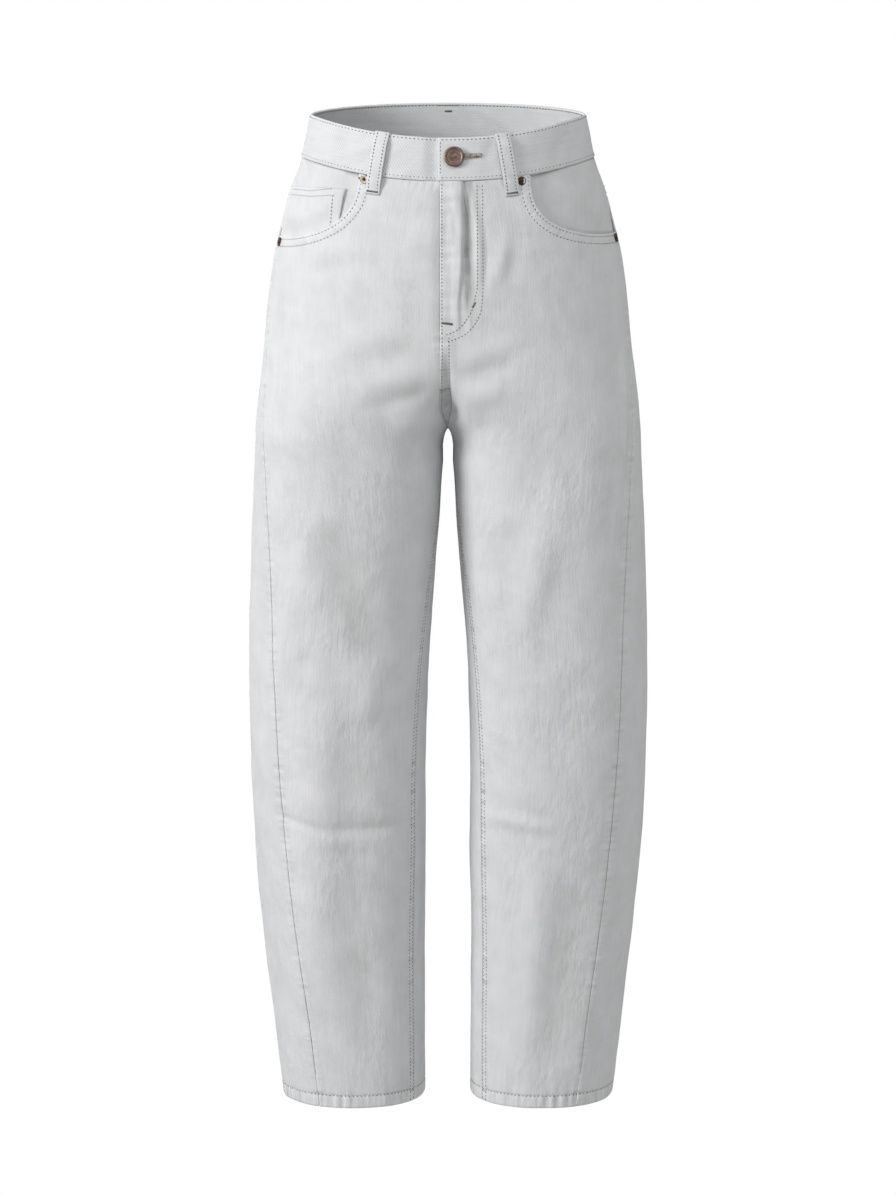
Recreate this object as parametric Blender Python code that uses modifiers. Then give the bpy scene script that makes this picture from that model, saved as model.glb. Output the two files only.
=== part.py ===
"""Barrel leg trousers in pale denim, filled out as if worn: a hollow waist and two bowed, hollow legs.

The frame has +Z up, the front towards -Y and the wearer's left towards +X. The origin is the centre of the
waist opening, level with the waistband's top edge at the sides. Sizes in the tables are millimetres.

Every piece of cloth is cut from one skin. A place on the skin is a side, a reach and a level:
  side   +1 for the wearer's left half, -1 for the right half
  reach  distance along the level's ring from the front centre (below the crotch, from the inseam),
         round the outside to the back centre (or back to the inseam)
  level  height below the waistband's top edge at the sides, so 0 at the top and negative below
"""

import math
from collections import namedtuple
from functools import lru_cache

import bmesh
import bpy
import numpy as np
from mathutils import Matrix, Vector

MM = 0.001

# Levels of the cut
BAND_HEIGHT = 41.0
SEAT_LEVEL = -204.0
CROTCH_LEVEL = -308.0
THIGH_LEVEL = -440.0
HEM_LEVEL = -989.0
HEM_HEIGHT = 12.0

# Cloth and the gaps between pieces
DENIM = 1.2
BAND_CLOTH = 2.6
LOOP_CLOTH = 1.6
HEM_CLOTH = 2.6
SEAM_GAP = 0.3
BAND_SEAM = -BAND_HEIGHT - SEAM_GAP
CENTRE_GAP = 0.2
LOOSE_GAP = 0.9
UNDER_LAYER = DENIM + LOOSE_GAP
BAND_LIFT = 0.8
SEAM_STRIP = 2.0
FOLD_FADE = 30.0

# The waist tips forward: lower at the front centre and higher at the back centre
FRONT_DIP = 20.0
BACK_RISE = 9.0
TIP_ENDS_LEVEL = -210.0

# Front closing
FLY_REACH = 6.0
FLY_END_LEVEL = -205.0
FLY_LIFT = 1.3
FLY_WIDTH = 40.0
BAND_OVERLAP = 9.5
BAND_UNDERLAP = 38.0
UNDERLAP_DEPTH = 2.9

# Front pockets. The scooped edge runs from its start on the band seam down and out to the side seam
POCKET_START = {1: 80.5, -1: 88.0}
POCKET_DEPTH = {1: 72.0, -1: 76.0}
POCKET_CURVE = {1: 2.5, -1: 2.2}
FACING_MARGIN = 10.0
FACING_SINK = {1: UNDER_LAYER, -1: 2 * UNDER_LAYER}
COIN_TOP = 29.5
COIN_TOP_SLOPE = 15.0
COIN_FRONT_END = 0.86
COIN_MOUTH_LEAN = 0.045
FRONT_JOINED_LEVEL = -150.0

# Usual widths of a front and a back, and how sharply their columns swing in towards the crotch
FRONT_WIDTH = 150.0
BACK_WIDTH = 230.0
SWING_IN = 8

# Back yoke and patch pockets
BACK_JOINED_LEVEL = -168.0
YOKE_SIDE_DEPTH = 36.0
YOKE_CENTRE_DEPTH = 64.0
BACK_POCKET_WIDTH = 140.0
BACK_POCKET_LENGTH = 150.0
BACK_POCKET_POINT = 20.0
BACK_POCKET_TAPER = 0.09
BACK_POCKET_TILT = 6.0
BACK_POCKET_FROM_CENTRE = 32.0
BACK_POCKET_BELOW_YOKE = 14.0

# Belt loops
LOOP_WIDTH = 14.0
LOOP_LENGTH = 60.0
LOOP_STAND_OFF = 2.6
LOOP_TOP_LEVEL = 1.0
BACK_LOOP_TOP_LEVEL = -1.5
FRONT_LOOP_TOP = {1: 51.6, -1: 62.9}
FRONT_LOOP_LEAN = 10.5
BACK_LOOP_FROM_CENTRE = 112.0
BACK_LOOP_LEAN = 3.0

# Button, buttonhole and rivets
BUTTON_RADIUS = 9.8
BUTTON_REACH = 5.5
BUTTON_DROP = 18.5
BUTTONHOLE_LENGTH = 24.0
BUTTONHOLE_WIDTH = 4.0
BUTTONHOLE_EYE = 3.2
BUTTONHOLE_CUT = 1.75
BUTTON_CLEARANCE = 1.0
SHANK_RADIUS = 2.2
RIVET_RADIUS = 4.3
FRONT_RIVET_REACH = {1: 71.5, -1: 82.0}
SIDE_RIVET_FROM_SEAM = 12.5
RIVET_BELOW_POCKET = 1.0

Section = namedtuple("Section", "level outer centre front back middle squareness")

# One row for each measured ring, from the waist down:
#   outer       distance of the silhouette from the front centre plane
#   centre      distance of the half ring's own centre from that plane
#   front, back depth of the ring before and behind its middle
#   middle      the ring's middle, behind the waist's middle
#   squareness  2 is an ellipse, and more is squarer
SECTIONS = (
    Section(10, 131, 0, 89, 86, 0, 2.12),
    Section(0, 134, 0, 91, 88, 0, 2.12),
    Section(-41, 143, 0, 98, 96, 0, 2.15),
    Section(-87, 158.5, 0, 104, 107, 0, 2.2),
    Section(-132, 169.5, 0, 107, 116, 0, 2.25),
    Section(-180, 176.5, 1, 108, 122, 0, 2.3),
    Section(-215, 180, 12, 107.5, 123, 0, 2.35),
    Section(-250, 184, 50, 105.5, 122, 0, 2.4),
    Section(-280, 187.5, 80, 103, 119.5, 1, 2.5),
    Section(-308, 190, 95.1, 100, 116, 2, 2.55),
    Section(-345, 192.3, 98.7, 96.5, 111, 3, 2.45),
    Section(-400, 195.5, 102, 92, 104.5, 4, 2.32),
    Section(-470, 198, 106, 87.5, 97, 6, 2.22),
    Section(-560, 199.6, 109.7, 83, 89, 8, 2.18),
    Section(-650, 198.4, 110.2, 79, 83, 9, 2.18),
    Section(-740, 194, 108, 75, 77, 10, 2.18),
    Section(-830, 186.5, 104.8, 71, 72, 10, 2.18),
    Section(-910, 177, 100, 69, 67, 9, 2.18),
    Section(-989, 168, 95.6, 70, 63, 7, 2.18),
)

Turn = namedtuple("Turn", "level degrees")

# How far the side seam has turned from the outside of the leg towards its front
SIDE_SEAM = (
    Turn(10, 4),
    Turn(-41, 5),
    Turn(-150, 8),
    Turn(-220, 13),
    Turn(-270, 22),
    Turn(-340, 33),
    Turn(-430, 42),
    Turn(-540, 48),
    Turn(-650, 52),
    Turn(-740, 55),
    Turn(-830, 59),
    Turn(-910, 62),
    Turn(-989, 64),
)

# How far the inseam has turned from the inside of the leg towards its front
INSEAM = (
    Turn(-308, 0),
    Turn(-380, 8),
    Turn(-460, 18),
    Turn(-600, 27),
    Turn(-760, 31),
    Turn(-989, 33),
)

Fold = namedtuple("Fold", "side share level half_length half_width height slope")

# The largest folds, as ridges (height over 0) and troughs (under 0) in the skin:
#   share        place round the leg, 0 at the inseam or front centre and 1 at the side seam
#   half_length  along the fold, and half_width across it
#   slope        degrees that the fold climbs from level towards the side seam
FOLDS = (
    Fold(-1, 0.50, -716, 70, 11, 2.6, 4),
    Fold(-1, 0.42, -742, 60, 14, -2.4, 2),
    Fold(1, 0.34, -722, 62, 11, 2.8, -10),
    Fold(1, 0.30, -748, 52, 14, -2.4, -8),
    Fold(-1, 0.45, -560, 150, 20, -2.6, 86),
    Fold(-1, 0.66, -610, 170, 24, 2.0, 92),
    Fold(1, 0.62, -560, 160, 22, -2.4, 94),
    Fold(1, 0.40, -600, 150, 22, 1.8, 88),
    Fold(1, 0.45, -860, 90, 22, -2.0, 100),
    Fold(-1, 0.42, -870, 90, 22, -2.0, 82),
    Fold(-1, 0.26, -300, 52, 14, 2.0, 16),
    Fold(-1, 0.28, -332, 50, 14, -2.0, 20),
    Fold(1, 0.26, -302, 52, 14, 2.0, 18),
    Fold(1, 0.30, -336, 50, 14, -2.0, 24),
    Fold(1, 0.16, -150, 55, 8, -2.0, 88),
    Fold(1, 0.30, -190, 48, 10, 1.6, 70),
)

# Folds behind, where share runs on from 1 at the side seam to 2 at the back centre or inseam
BACK_FOLDS = (
    Fold(-1, 1.72, -318, 70, 18, 1.8, -24),
    Fold(1, 1.70, -322, 70, 18, 1.8, -27),
    Fold(-1, 1.66, -362, 70, 18, -2.2, -22),
    Fold(1, 1.66, -366, 70, 18, -2.2, -20),
    Fold(-1, 1.42, -655, 50, 15, 1.9, 17),
    Fold(1, 1.44, -668, 48, 15, 1.9, -15),
    Fold(-1, 1.40, -690, 52, 17, -1.9, 14),
    Fold(1, 1.42, -700, 50, 17, -1.9, -12),
)

# Colours, as linear RGB
PALE_DENIM = (0.66, 0.69, 0.70, 1)
BAND_DENIM = (0.64, 0.67, 0.68, 1)
BROWN_BRASS = (0.16, 0.10, 0.07, 1)
OLD_BRASS = (0.42, 0.33, 0.20, 1)
ZIP_GREY = (0.45, 0.47, 0.48, 1)


# The skin

def smooth_step(value, start, end):
    """0 before start, 1 after end, and a soft climb between them."""
    share = np.clip((value - start) / (end - start), 0, 1)
    return share * share * (3 - 2 * share)


def through_rows(rows, column, level):
    """A smooth curve through one column of a table whose levels run downwards."""
    heights = [-row.level for row in rows]
    values = [getattr(row, column) for row in rows]
    slopes = np.gradient(values, heights)
    place = min(max(-level, heights[0]), heights[-1])
    i = min(int(np.searchsorted(heights, place, side="right")) - 1, len(rows) - 2)
    span = heights[i + 1] - heights[i]
    t = (place - heights[i]) / span
    return (
        (2 * t**3 - 3 * t**2 + 1) * values[i]
        + (t**3 - 2 * t**2 + t) * span * slopes[i]
        + (3 * t**2 - 2 * t**3) * values[i + 1]
        + (t**3 - t**2) * span * slopes[i + 1]
    )


def section_at(level):
    columns = {name: through_rows(SECTIONS, name, level) for name in Section._fields[1:]}
    return Section(level, **columns)


def skin_points(angles, level):
    """Points of the half ring at a level. Angle 0 is outwards and a quarter turn is the front."""
    ring = section_at(level)
    half_width = ring.outer - ring.centre
    power = 2 / ring.squareness
    across, along = np.cos(angles), np.sin(angles)
    depth = np.abs(along) ** power
    front = along > 0
    x = ring.centre + half_width * np.sign(across) * np.abs(across) ** power
    y = ring.middle + np.where(front, -ring.front, ring.back) * depth
    tip = np.where(front, -FRONT_DIP * depth**2.2, BACK_RISE * depth**1.2)
    z = level + tip * smooth_step(level, TIP_ENDS_LEVEL, -BAND_HEIGHT)
    return np.stack([x, y, z], axis=-1)


def ring_ends(level):
    """The angles where the half ring starts, at the front centre or inseam, and where it ends."""
    if level <= CROTCH_LEVEL:
        start = math.pi - math.radians(through_rows(INSEAM, "degrees", level))
        return start, start - 2 * math.pi
    ring = section_at(level)
    share = (CENTRE_GAP - ring.centre) / (ring.outer - ring.centre)
    share = max(-1.0, min(1.0, share))
    start = math.acos(math.copysign(abs(share) ** (ring.squareness / 2), share))
    return start, -start


Ring = namedtuple("Ring", "reach points normals side_reach")


@lru_cache(maxsize=None)
def ring_at(level):
    """The half ring at a level: points and outward normals against reach."""
    start, end = ring_ends(level)
    angles = np.linspace(start, end, 721)
    points = skin_points(angles, level)
    along = skin_points(angles - 0.004, level) - skin_points(angles + 0.004, level)
    down = skin_points(angles, level - 1) - skin_points(angles, level + 1)
    normals = np.cross(down, along)
    normals /= np.linalg.norm(normals, axis=1)[:, None]
    steps = np.linalg.norm(np.diff(points, axis=0), axis=1)
    reach = np.concatenate([[0], np.cumsum(steps)])
    seam_angle = math.radians(through_rows(SIDE_SEAM, "degrees", level))
    side_reach = float(np.interp(-seam_angle, -angles, reach))
    return Ring(reach, points, normals, side_reach)


def total_reach(level):
    return float(ring_at(level).reach[-1])


def share_round(reach, level):
    """0 at the ring's start, 1 at the side seam and 2 at the ring's end."""
    ring = ring_at(level)
    if reach <= ring.side_reach:
        return reach / ring.side_reach
    return 1 + (reach - ring.side_reach) / (ring.reach[-1] - ring.side_reach)


def fold_height(side, reach, level):
    """How far the folds lift the skin here, in millimetres."""
    share = share_round(reach, level)
    width = ring_at(level).side_reach
    from_seam = min(reach, total_reach(level) - reach)
    fade = float(smooth_step(from_seam, 1, FOLD_FADE))
    height = 0.0
    for fold in FOLDS + BACK_FOLDS:
        if fold.side != side:
            continue
        right, up = (share - fold.share) * width, level - fold.level
        turn = math.radians(fold.slope)
        along = right * math.cos(turn) + up * math.sin(turn)
        across = up * math.cos(turn) - right * math.sin(turn)
        spread = (along / fold.half_length) ** 2 + (across / fold.half_width) ** 2
        height += fold.height * math.exp(-spread)
    return height * fade


def on_skin(side, reach, level, out=0.0):
    """The point at this place, moved out from the skin. A reach under 0 crosses the front centre."""
    ring = ring_at(level)
    crossed = -1 if reach < 0 else 1
    point = np.array([np.interp(abs(reach), ring.reach, ring.points[:, k]) for k in range(3)])
    normal = np.array([np.interp(abs(reach), ring.reach, ring.normals[:, k]) for k in range(3)])
    lift = out + fold_height(side, max(reach, 0.0), level)
    placed = point + normal / np.linalg.norm(normal) * lift
    placed[0] *= side * crossed
    return placed


def normal_at(side, reach, level):
    lifted = on_skin(side, reach, level, 1.0) - on_skin(side, reach, level, 0.0)
    return Vector(lifted).normalized()


# Making objects

def fresh_scene():
    for old in list(bpy.data.objects):
        bpy.data.objects.remove(old)
    made = {}
    for name in ("barrel_leg_trousers", "cutters"):
        collection = bpy.data.collections.new(name)
        bpy.context.scene.collection.children.link(collection)
        made[name] = collection
    return made["barrel_leg_trousers"], made["cutters"]


def material(name, colour, roughness=0.9, metallic=0.0):
    made = bpy.data.materials.new(name)
    made.use_nodes = True
    shader = made.node_tree.nodes["Principled BSDF"]
    shader.inputs["Base Color"].default_value = colour
    shader.inputs["Roughness"].default_value = roughness
    shader.inputs["Metallic"].default_value = metallic
    made.diffuse_color = colour
    return made


def object_of(name, mesh, collection, finish=None):
    made = bpy.data.objects.new(name, mesh)
    collection.objects.link(made)
    if finish:
        mesh.materials.append(finish)
    return made


def cloth_piece(name, rows, thickness, finish, collection, hem=None):
    """A piece of cloth: rows of points on its outer face, given a wall inwards by Solidify.

    Rows run downwards, and on the left side each runs from the front round to the back.
    hem is (first row, thickness) for the rows at the bottom that are folded double."""
    mesh = bpy.data.meshes.new(name)
    shape = bmesh.new()
    corners = [[shape.verts.new(Vector(point) * MM) for point in row] for row in rows]
    for upper, lower in zip(corners, corners[1:]):
        for a, b, c, d in zip(upper, upper[1:], lower[1:], lower):
            shape.faces.new((a, d, c, b))
    shape.to_mesh(mesh)
    shape.free()
    piece = object_of(name, mesh, collection, finish)
    wall = piece.modifiers.new("wall", "SOLIDIFY")
    wall.offset = -1
    wall.thickness = thickness * MM
    if hem:
        first_row, hem_thickness = hem
        wall.thickness = hem_thickness * MM
        single = piece.vertex_groups.new(name="wall")
        wall.vertex_group = single.name
        columns = len(rows[0])
        thin = list(range(first_row * columns))
        thick = list(range(first_row * columns, len(rows) * columns))
        single.add(thin, thickness / hem_thickness, "REPLACE")
        single.add(thick, 1.0, "REPLACE")
    mesh.shade_smooth()
    return piece


def facing_out(rows, side):
    """Rows whose faces point outwards: a right-hand piece is listed the other way along."""
    return [list(reversed(row)) for row in rows] if side < 0 else rows


# Places on the cut

def fly_reach(side, level):
    """How far a front passes the centre plane: the left one laps over, the right one stops short."""
    fade = smooth_step(level, CROTCH_LEVEL + 22, FLY_END_LEVEL)
    return side * FLY_REACH * float(fade)


def scoop_depth(side, share):
    """Depth of the scooped pocket edge below the band seam, from 0 at the side seam to 1 at its start."""
    curve = POCKET_CURVE[side]
    return POCKET_DEPTH[side] * (1 - min(share, 1) ** curve) ** (1 / curve)


def pocket_reach(side, share, level):
    """The reach of a place whose share runs from 0 at the side seam to 1 at the scoop's start."""
    side_seam = ring_at(level).side_reach
    return side_seam - share * (side_seam - POCKET_START[side])


def yoke_depth(share):
    """Depth of the yoke seam below the band seam, from 0 at the side seam to 1 at the back centre."""
    return YOKE_SIDE_DEPTH + (YOKE_CENTRE_DEPTH - YOKE_SIDE_DEPTH) * share


def crotch_levels(count=4, lowest_step=3.2):
    """Levels that crowd together towards the crotch, where the centre seams turn inwards."""
    return [CROTCH_LEVEL + lowest_step * i * i for i in range(count, -1, -1)]


LEG_LEVELS = (-320, -336, -360, -393, -440, -505, -575, -640, -690, -714, -732, -752, -800, -860, -925)
LEG_LEVELS += (HEM_LEVEL + HEM_HEIGHT + 1.5, HEM_LEVEL + HEM_HEIGHT, HEM_LEVEL)
HEM_ROWS = 2


def calm_reach(start, end_at, share, level):
    """The reach of a column, a share of the way from start to end_at(level).

    At the crotch the centre seams swing in under the body. The columns nearest to them follow, and
    the others keep an even course from the seat to the thigh."""
    width = end_at(level) - start
    calm = width
    if THIGH_LEVEL < level < SEAT_LEVEL:
        seat, thigh = (abs(end_at(at) - ring_at(at).side_reach) for at in (SEAT_LEVEL, THIGH_LEVEL))
        down = float(smooth_step(level, SEAT_LEVEL, THIGH_LEVEL))
        calm = math.copysign(seat + (thigh - seat) * down, width)
    return start + calm * share + (width - calm) * share**SWING_IN


def with_seam_strips(shares, width):
    """Adds a narrow strip along each seam, so that both walls there follow the skin and stay apart."""
    strip = SEAM_STRIP / width
    return np.concatenate([[0, strip], shares[1:-1], [1 - strip, 1]])


# The pieces

def front_tops(side):
    """(reach, level) of the top of each column of a front: along the scoop, then along the band seam."""
    scoop = 1 - (1 - np.linspace(0, 1, 9)[1:]) ** 1.5
    tops = []
    for share in [0, 0.02, *scoop]:
        level = BAND_SEAM - scoop_depth(side, share)
        tops.append((pocket_reach(side, share, level), level))
    centre = -fly_reach(side, BAND_SEAM)
    plain = np.linspace(POCKET_START[side], centre, 7)[1:-1]
    return tops + [(reach, BAND_SEAM) for reach in [*plain, centre + SEAM_STRIP, centre]]


def front_panel(side, name, finish, collection):
    """A front leg panel, from the band seam and the scooped pocket edge down to the hem."""
    places = []
    for reach, level in front_tops(side):
        span = ring_at(level).side_reach + fly_reach(side, level)
        places.append(((ring_at(level).side_reach - reach) / span, level))
    even = with_seam_strips(np.linspace(0, 1, len(places) - 2), FRONT_WIDTH)
    grid = []
    for step in np.linspace(0, 1, 6)[:-1]:
        blend = [(top + (share - top) * step, level + (FRONT_JOINED_LEVEL - level) * step)
                 for (top, level), share in zip(places, even)]
        grid.append(blend)
    for level in [FRONT_JOINED_LEVEL, -178, SEAT_LEVEL, -230, *crotch_levels(), *LEG_LEVELS]:
        grid.append([(share, level) for share in even])
    rows = []
    for line in grid:
        row = []
        for share, level in line:
            outer_end = ring_at(level).side_reach - SEAM_GAP / 2
            reach = calm_reach(outer_end, lambda at: SEAM_GAP / 2 - fly_reach(side, at), share, level)
            lift = 0.0
            if side > 0:
                near_edge = 1 - float(smooth_step(reach, 2.0, 20.0))
                above_end = float(smooth_step(level, FLY_END_LEVEL - 12, FLY_END_LEVEL + 10))
                lift = FLY_LIFT * near_edge * above_end
            row.append(on_skin(side, reach, level, lift))
        rows.append(list(reversed(row)))
    first_hem_row = len(rows) - HEM_ROWS
    rows = facing_out(rows, side)
    return cloth_piece(name, rows, DENIM, finish, collection, (first_hem_row, HEM_CLOTH))


def back_panel(side, name, finish, collection):
    """A back leg panel, from the yoke seam down to the hem."""
    shares = with_seam_strips(1 - (1 - np.linspace(0, 1, 17)) ** 1.15, BACK_WIDTH)
    tops = [BAND_SEAM - yoke_depth(share) - SEAM_GAP for share in shares]
    levels = [[top + (BACK_JOINED_LEVEL - top) * step for top in tops] for step in (0, 0.33, 0.67)]
    lower = [BACK_JOINED_LEVEL, -186, SEAT_LEVEL, -230, *crotch_levels(), *LEG_LEVELS]
    levels += [[level] * len(shares) for level in lower]
    rows = []
    for row_levels in levels:
        row = []
        for share, level in zip(shares, row_levels):
            outer_end = ring_at(level).side_reach + SEAM_GAP / 2
            reach = calm_reach(outer_end, lambda at: total_reach(at) - SEAM_GAP / 2, share, level)
            row.append(on_skin(side, reach, level))
        rows.append(row)
    first_hem_row = len(rows) - HEM_ROWS
    rows = facing_out(rows, side)
    return cloth_piece(name, rows, DENIM, finish, collection, (first_hem_row, HEM_CLOTH))


def back_yoke(side, name, finish, collection):
    """The V-shaped yoke between the band and the seat."""
    shares = with_seam_strips(np.linspace(0, 1, 13), BACK_WIDTH)
    rows = []
    for step in (0, 0.5, 1):
        row = []
        for share in shares:
            level = BAND_SEAM - yoke_depth(share) * step
            outer_end = ring_at(level).side_reach + SEAM_GAP / 2
            inner_end = total_reach(level) - SEAM_GAP / 2
            row.append(on_skin(side, outer_end + (inner_end - outer_end) * share, level))
        rows.append(row)
    return cloth_piece(name, facing_out(rows, side), DENIM, finish, collection)


def back_pocket(side, name, finish, collection):
    """A plain five-sided patch pocket on the seat."""
    half = BACK_POCKET_WIDTH / 2
    top = BAND_SEAM - yoke_depth(0.6) - BACK_POCKET_BELOW_YOKE
    sides_length = BACK_POCKET_LENGTH - BACK_POCKET_POINT
    rows = []
    for down in np.linspace(0, 1, 8):
        row = []
        for across in np.linspace(-1, 1, 9):
            point = BACK_POCKET_POINT * (1 - abs(across)) * down
            level = top - BACK_POCKET_TILT * across - sides_length * down - point
            from_centre = BACK_POCKET_FROM_CENTRE + half - half * across * (1 - BACK_POCKET_TAPER * down)
            row.append(on_skin(side, total_reach(level) - from_centre, level, UNDER_LAYER))
        rows.append(row)
    return cloth_piece(name, facing_out(rows, side), DENIM, finish, collection)


def facing_offset(side, share, depth):
    """How far the pocket facing lies behind the skin: deepest under the scooped edge."""
    curve = POCKET_CURVE[side]
    nearness = (share**curve + (depth / POCKET_DEPTH[side]) ** curve) ** (1 / curve)
    inside = (1 - nearness) * POCKET_DEPTH[side]
    sunk = 1 - float(smooth_step(inside, 2.5, 18.0))
    return -0.2 - (FACING_SINK[side] - 0.2) * sunk


def facing_point(side, share, depth, out=0.0):
    level = BAND_SEAM - depth
    reach = pocket_reach(side, share, level) - SEAM_GAP / 2
    return on_skin(side, reach, level, facing_offset(side, share, depth) + out)


def pocket_facing(side, name, finish, collection):
    """The hip piece that shows inside the scooped pocket, tucked under the front panel."""
    shares = [1.09, *np.linspace(1, 0.1, 9), 0.02, 0]
    depths = np.linspace(0, POCKET_DEPTH[side] + FACING_MARGIN, 9)
    rows = [[facing_point(side, share, depth) for share in shares] for depth in depths]
    return cloth_piece(name, facing_out(rows, side), DENIM, finish, collection)


def coin_pocket(side, name, finish, collection):
    """The small pocket on the right facing. Its bottom goes down under the front panel."""
    rows = []
    for down in np.linspace(0, 1, 6):
        front_end = COIN_FRONT_END - COIN_MOUTH_LEAN * min(1.0, 2.5 * down)
        row = []
        for share in np.linspace(front_end, 0.04, 9):
            top = COIN_TOP - COIN_TOP_SLOPE * share
            bottom = POCKET_DEPTH[side] + 5
            row.append(facing_point(side, share, top + (bottom - top) * down, UNDER_LAYER))
        rows.append(row)
    return cloth_piece(name, facing_out(rows, side), DENIM, finish, collection)


def waistband(name, finish, collection):
    """One strip: from the underlap's end behind the left front, round the waist, to the overlap's end."""
    stations = []
    for reach in np.concatenate([np.linspace(-BAND_UNDERLAP, 30, 18), np.linspace(44, 180, 10)]):
        sunk = 1 - float(smooth_step(reach, BAND_OVERLAP + 1.5, BAND_OVERLAP + 16))
        stations.append((-1, reach, -UNDERLAP_DEPTH * sunk))
    last = total_reach(-20.0) - 12
    stations += [(-1, reach, 0.0) for reach in np.linspace(195, last, 11)]
    stations += [(1, reach, 0.0) for reach in np.linspace(last, 195, 11)]
    stations += [(1, reach, 0.0) for reach in np.linspace(180, -BAND_OVERLAP, 18)]
    rows = []
    for level in np.linspace(0, -BAND_HEIGHT, 4):
        row = [on_skin(side, reach, level, out + BAND_LIFT) for side, reach, out in stations]
        rows.append(list(reversed(row)))
    return cloth_piece(name, rows, BAND_CLOTH, finish, collection)


def belt_loop(side, start, lean, name, finish, collection, from_back=False):
    """A belt loop, sewn down at both ends and standing off between them. Those behind sit lower.

    start is where its top's middle lies, round from the front centre or, from_back, from the back centre."""
    rows = []
    for down in (0, 0.05, 0.13, 0.2, 0.36, 0.52, 0.68, 0.8, 0.87, 0.95, 1):
        level = (BACK_LOOP_TOP_LEVEL if from_back else LOOP_TOP_LEVEL) - LOOP_LENGTH * down
        lifted = smooth_step(down, 0.04, 0.22) * (1 - smooth_step(down, 0.76, 0.96))
        out = BAND_LIFT + LOOSE_GAP + LOOP_CLOTH + LOOP_STAND_OFF * float(lifted)
        row = []
        for across in (-0.5, 0, 0.5):
            round_to = start + lean * down
            reach = (total_reach(level) - round_to if from_back else round_to) + across * LOOP_WIDTH
            beyond = reach - total_reach(level)
            if beyond > 0:
                row.append(on_skin(-side, total_reach(level) - beyond, level, out))
            else:
                row.append(on_skin(side, reach, level, out))
        rows.append(row)
    return cloth_piece(name, facing_out(rows, side), LOOP_CLOTH, finish, collection)


def behind_fly(name, reaches, levels, out, finish, collection, side=-1):
    rows = [[on_skin(side, reach, level, out) for reach in reaches] for level in levels]
    return cloth_piece(name, facing_out(rows, side), DENIM, finish, collection)


def turned(name, profile, steps, finish, collection):
    """A turned solid round its own Z axis, from (radius, height) points that run down its outer side."""
    mesh = bpy.data.meshes.new(name)
    points = [(radius * MM, 0, height * MM) for radius, height in profile]
    mesh.from_pydata(points, [(i, i + 1) for i in range(len(points) - 1)], [])
    made = object_of(name, mesh, collection, finish)
    screw = made.modifiers.new("turn", "SCREW")
    screw.steps = steps
    screw.render_steps = steps
    screw.use_merge_vertices = True
    screw.merge_threshold = 0.00001
    screw.use_smooth_shade = True
    return made


def stand_on(piece, side, reach, level, out):
    """Places a turned piece with its axis along the skin's normal."""
    normal = normal_at(side, reach, level)
    piece.location = Vector(on_skin(side, reach, level, out)) * MM
    piece.rotation_mode = "QUATERNION"
    piece.rotation_quaternion = normal.to_track_quat("Z", "Y")


def waist_button(finish, collection):
    """The shank button: its post stands on the underlap and passes through the buttonhole."""
    foot = BAND_LIFT - UNDERLAP_DEPTH + SEAM_GAP
    face = BAND_LIFT + BUTTON_CLEARANCE
    profile = (
        (0, face + 2.6),
        (5.0, face + 2.7),
        (5.6, face + 2.4),
        (7.8, face + 2.5),
        (8.9, face + 3.1),
        (BUTTON_RADIUS, face + 2.3),
        (BUTTON_RADIUS - 0.2, face + 0.9),
        (8.0, face + 0.2),
        (SHANK_RADIUS + 0.6, face),
        (SHANK_RADIUS, face - 0.8),
        (SHANK_RADIUS, foot),
        (0, foot),
    )
    button = turned("button", profile, 28, finish, collection)
    stand_on(button, 1, BUTTON_REACH, -BUTTON_DROP, 0.0)
    return button


def rivet(name, side, reach, level, out, finish, collection):
    """A capped rivet: a flat washer with a small domed head."""
    profile = (
        (0, 1.9),
        (1.0, 1.7),
        (1.7, 0.9),
        (3.6, 0.85),
        (RIVET_RADIUS, 0.5),
        (RIVET_RADIUS, 0),
        (0, 0),
    )
    made = turned(name, profile, 14, finish, collection)
    stand_on(made, side, reach, level, out)
    return made


def cut_buttonhole(band, cutters):
    """The slit with its round eye, cut through the overlap's end of the band."""
    outline = bmesh.new()
    ring = []
    half = BUTTONHOLE_WIDTH / 2
    for step in range(9):
        turn = math.pi / 2 + math.pi * step / 8
        ring.append((BUTTONHOLE_EYE * math.cos(turn), BUTTONHOLE_EYE * math.sin(turn)))
    ring += [(3.4, -half), (BUTTONHOLE_LENGTH, -half * 0.6), (BUTTONHOLE_LENGTH, half * 0.6), (3.4, half)]
    low = [outline.verts.new((x * MM, y * MM, -BUTTONHOLE_CUT * MM)) for x, y in ring]
    face = outline.faces.new(low)
    lifted = bmesh.ops.extrude_face_region(outline, geom=[face])["geom"]
    moved = [item for item in lifted if isinstance(item, bmesh.types.BMVert)]
    bmesh.ops.translate(outline, verts=moved, vec=(0, 0, 2 * BUTTONHOLE_CUT * MM))
    bmesh.ops.recalc_face_normals(outline, faces=outline.faces)
    mesh = bpy.data.meshes.new("buttonhole_cutter")
    outline.to_mesh(mesh)
    outline.free()
    cutter = object_of("buttonhole_cutter", mesh, cutters)
    cutter.hide_render = True
    cutter.display_type = "WIRE"
    normal = normal_at(1, BUTTON_REACH, -BUTTON_DROP)
    across = Vector((1, 0, 0)) - normal * normal.x
    across.normalize()
    up = normal.cross(across)
    axes = Matrix((across, up, normal)).transposed().to_4x4()
    middle = Vector(on_skin(1, BUTTON_REACH, -BUTTON_DROP, BAND_LIFT - BAND_CLOTH / 2)) * MM
    cutter.matrix_world = Matrix.Translation(middle) @ axes
    cut = band.modifiers.new("buttonhole", "BOOLEAN")
    cut.operation = "DIFFERENCE"
    cut.object = cutter


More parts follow.
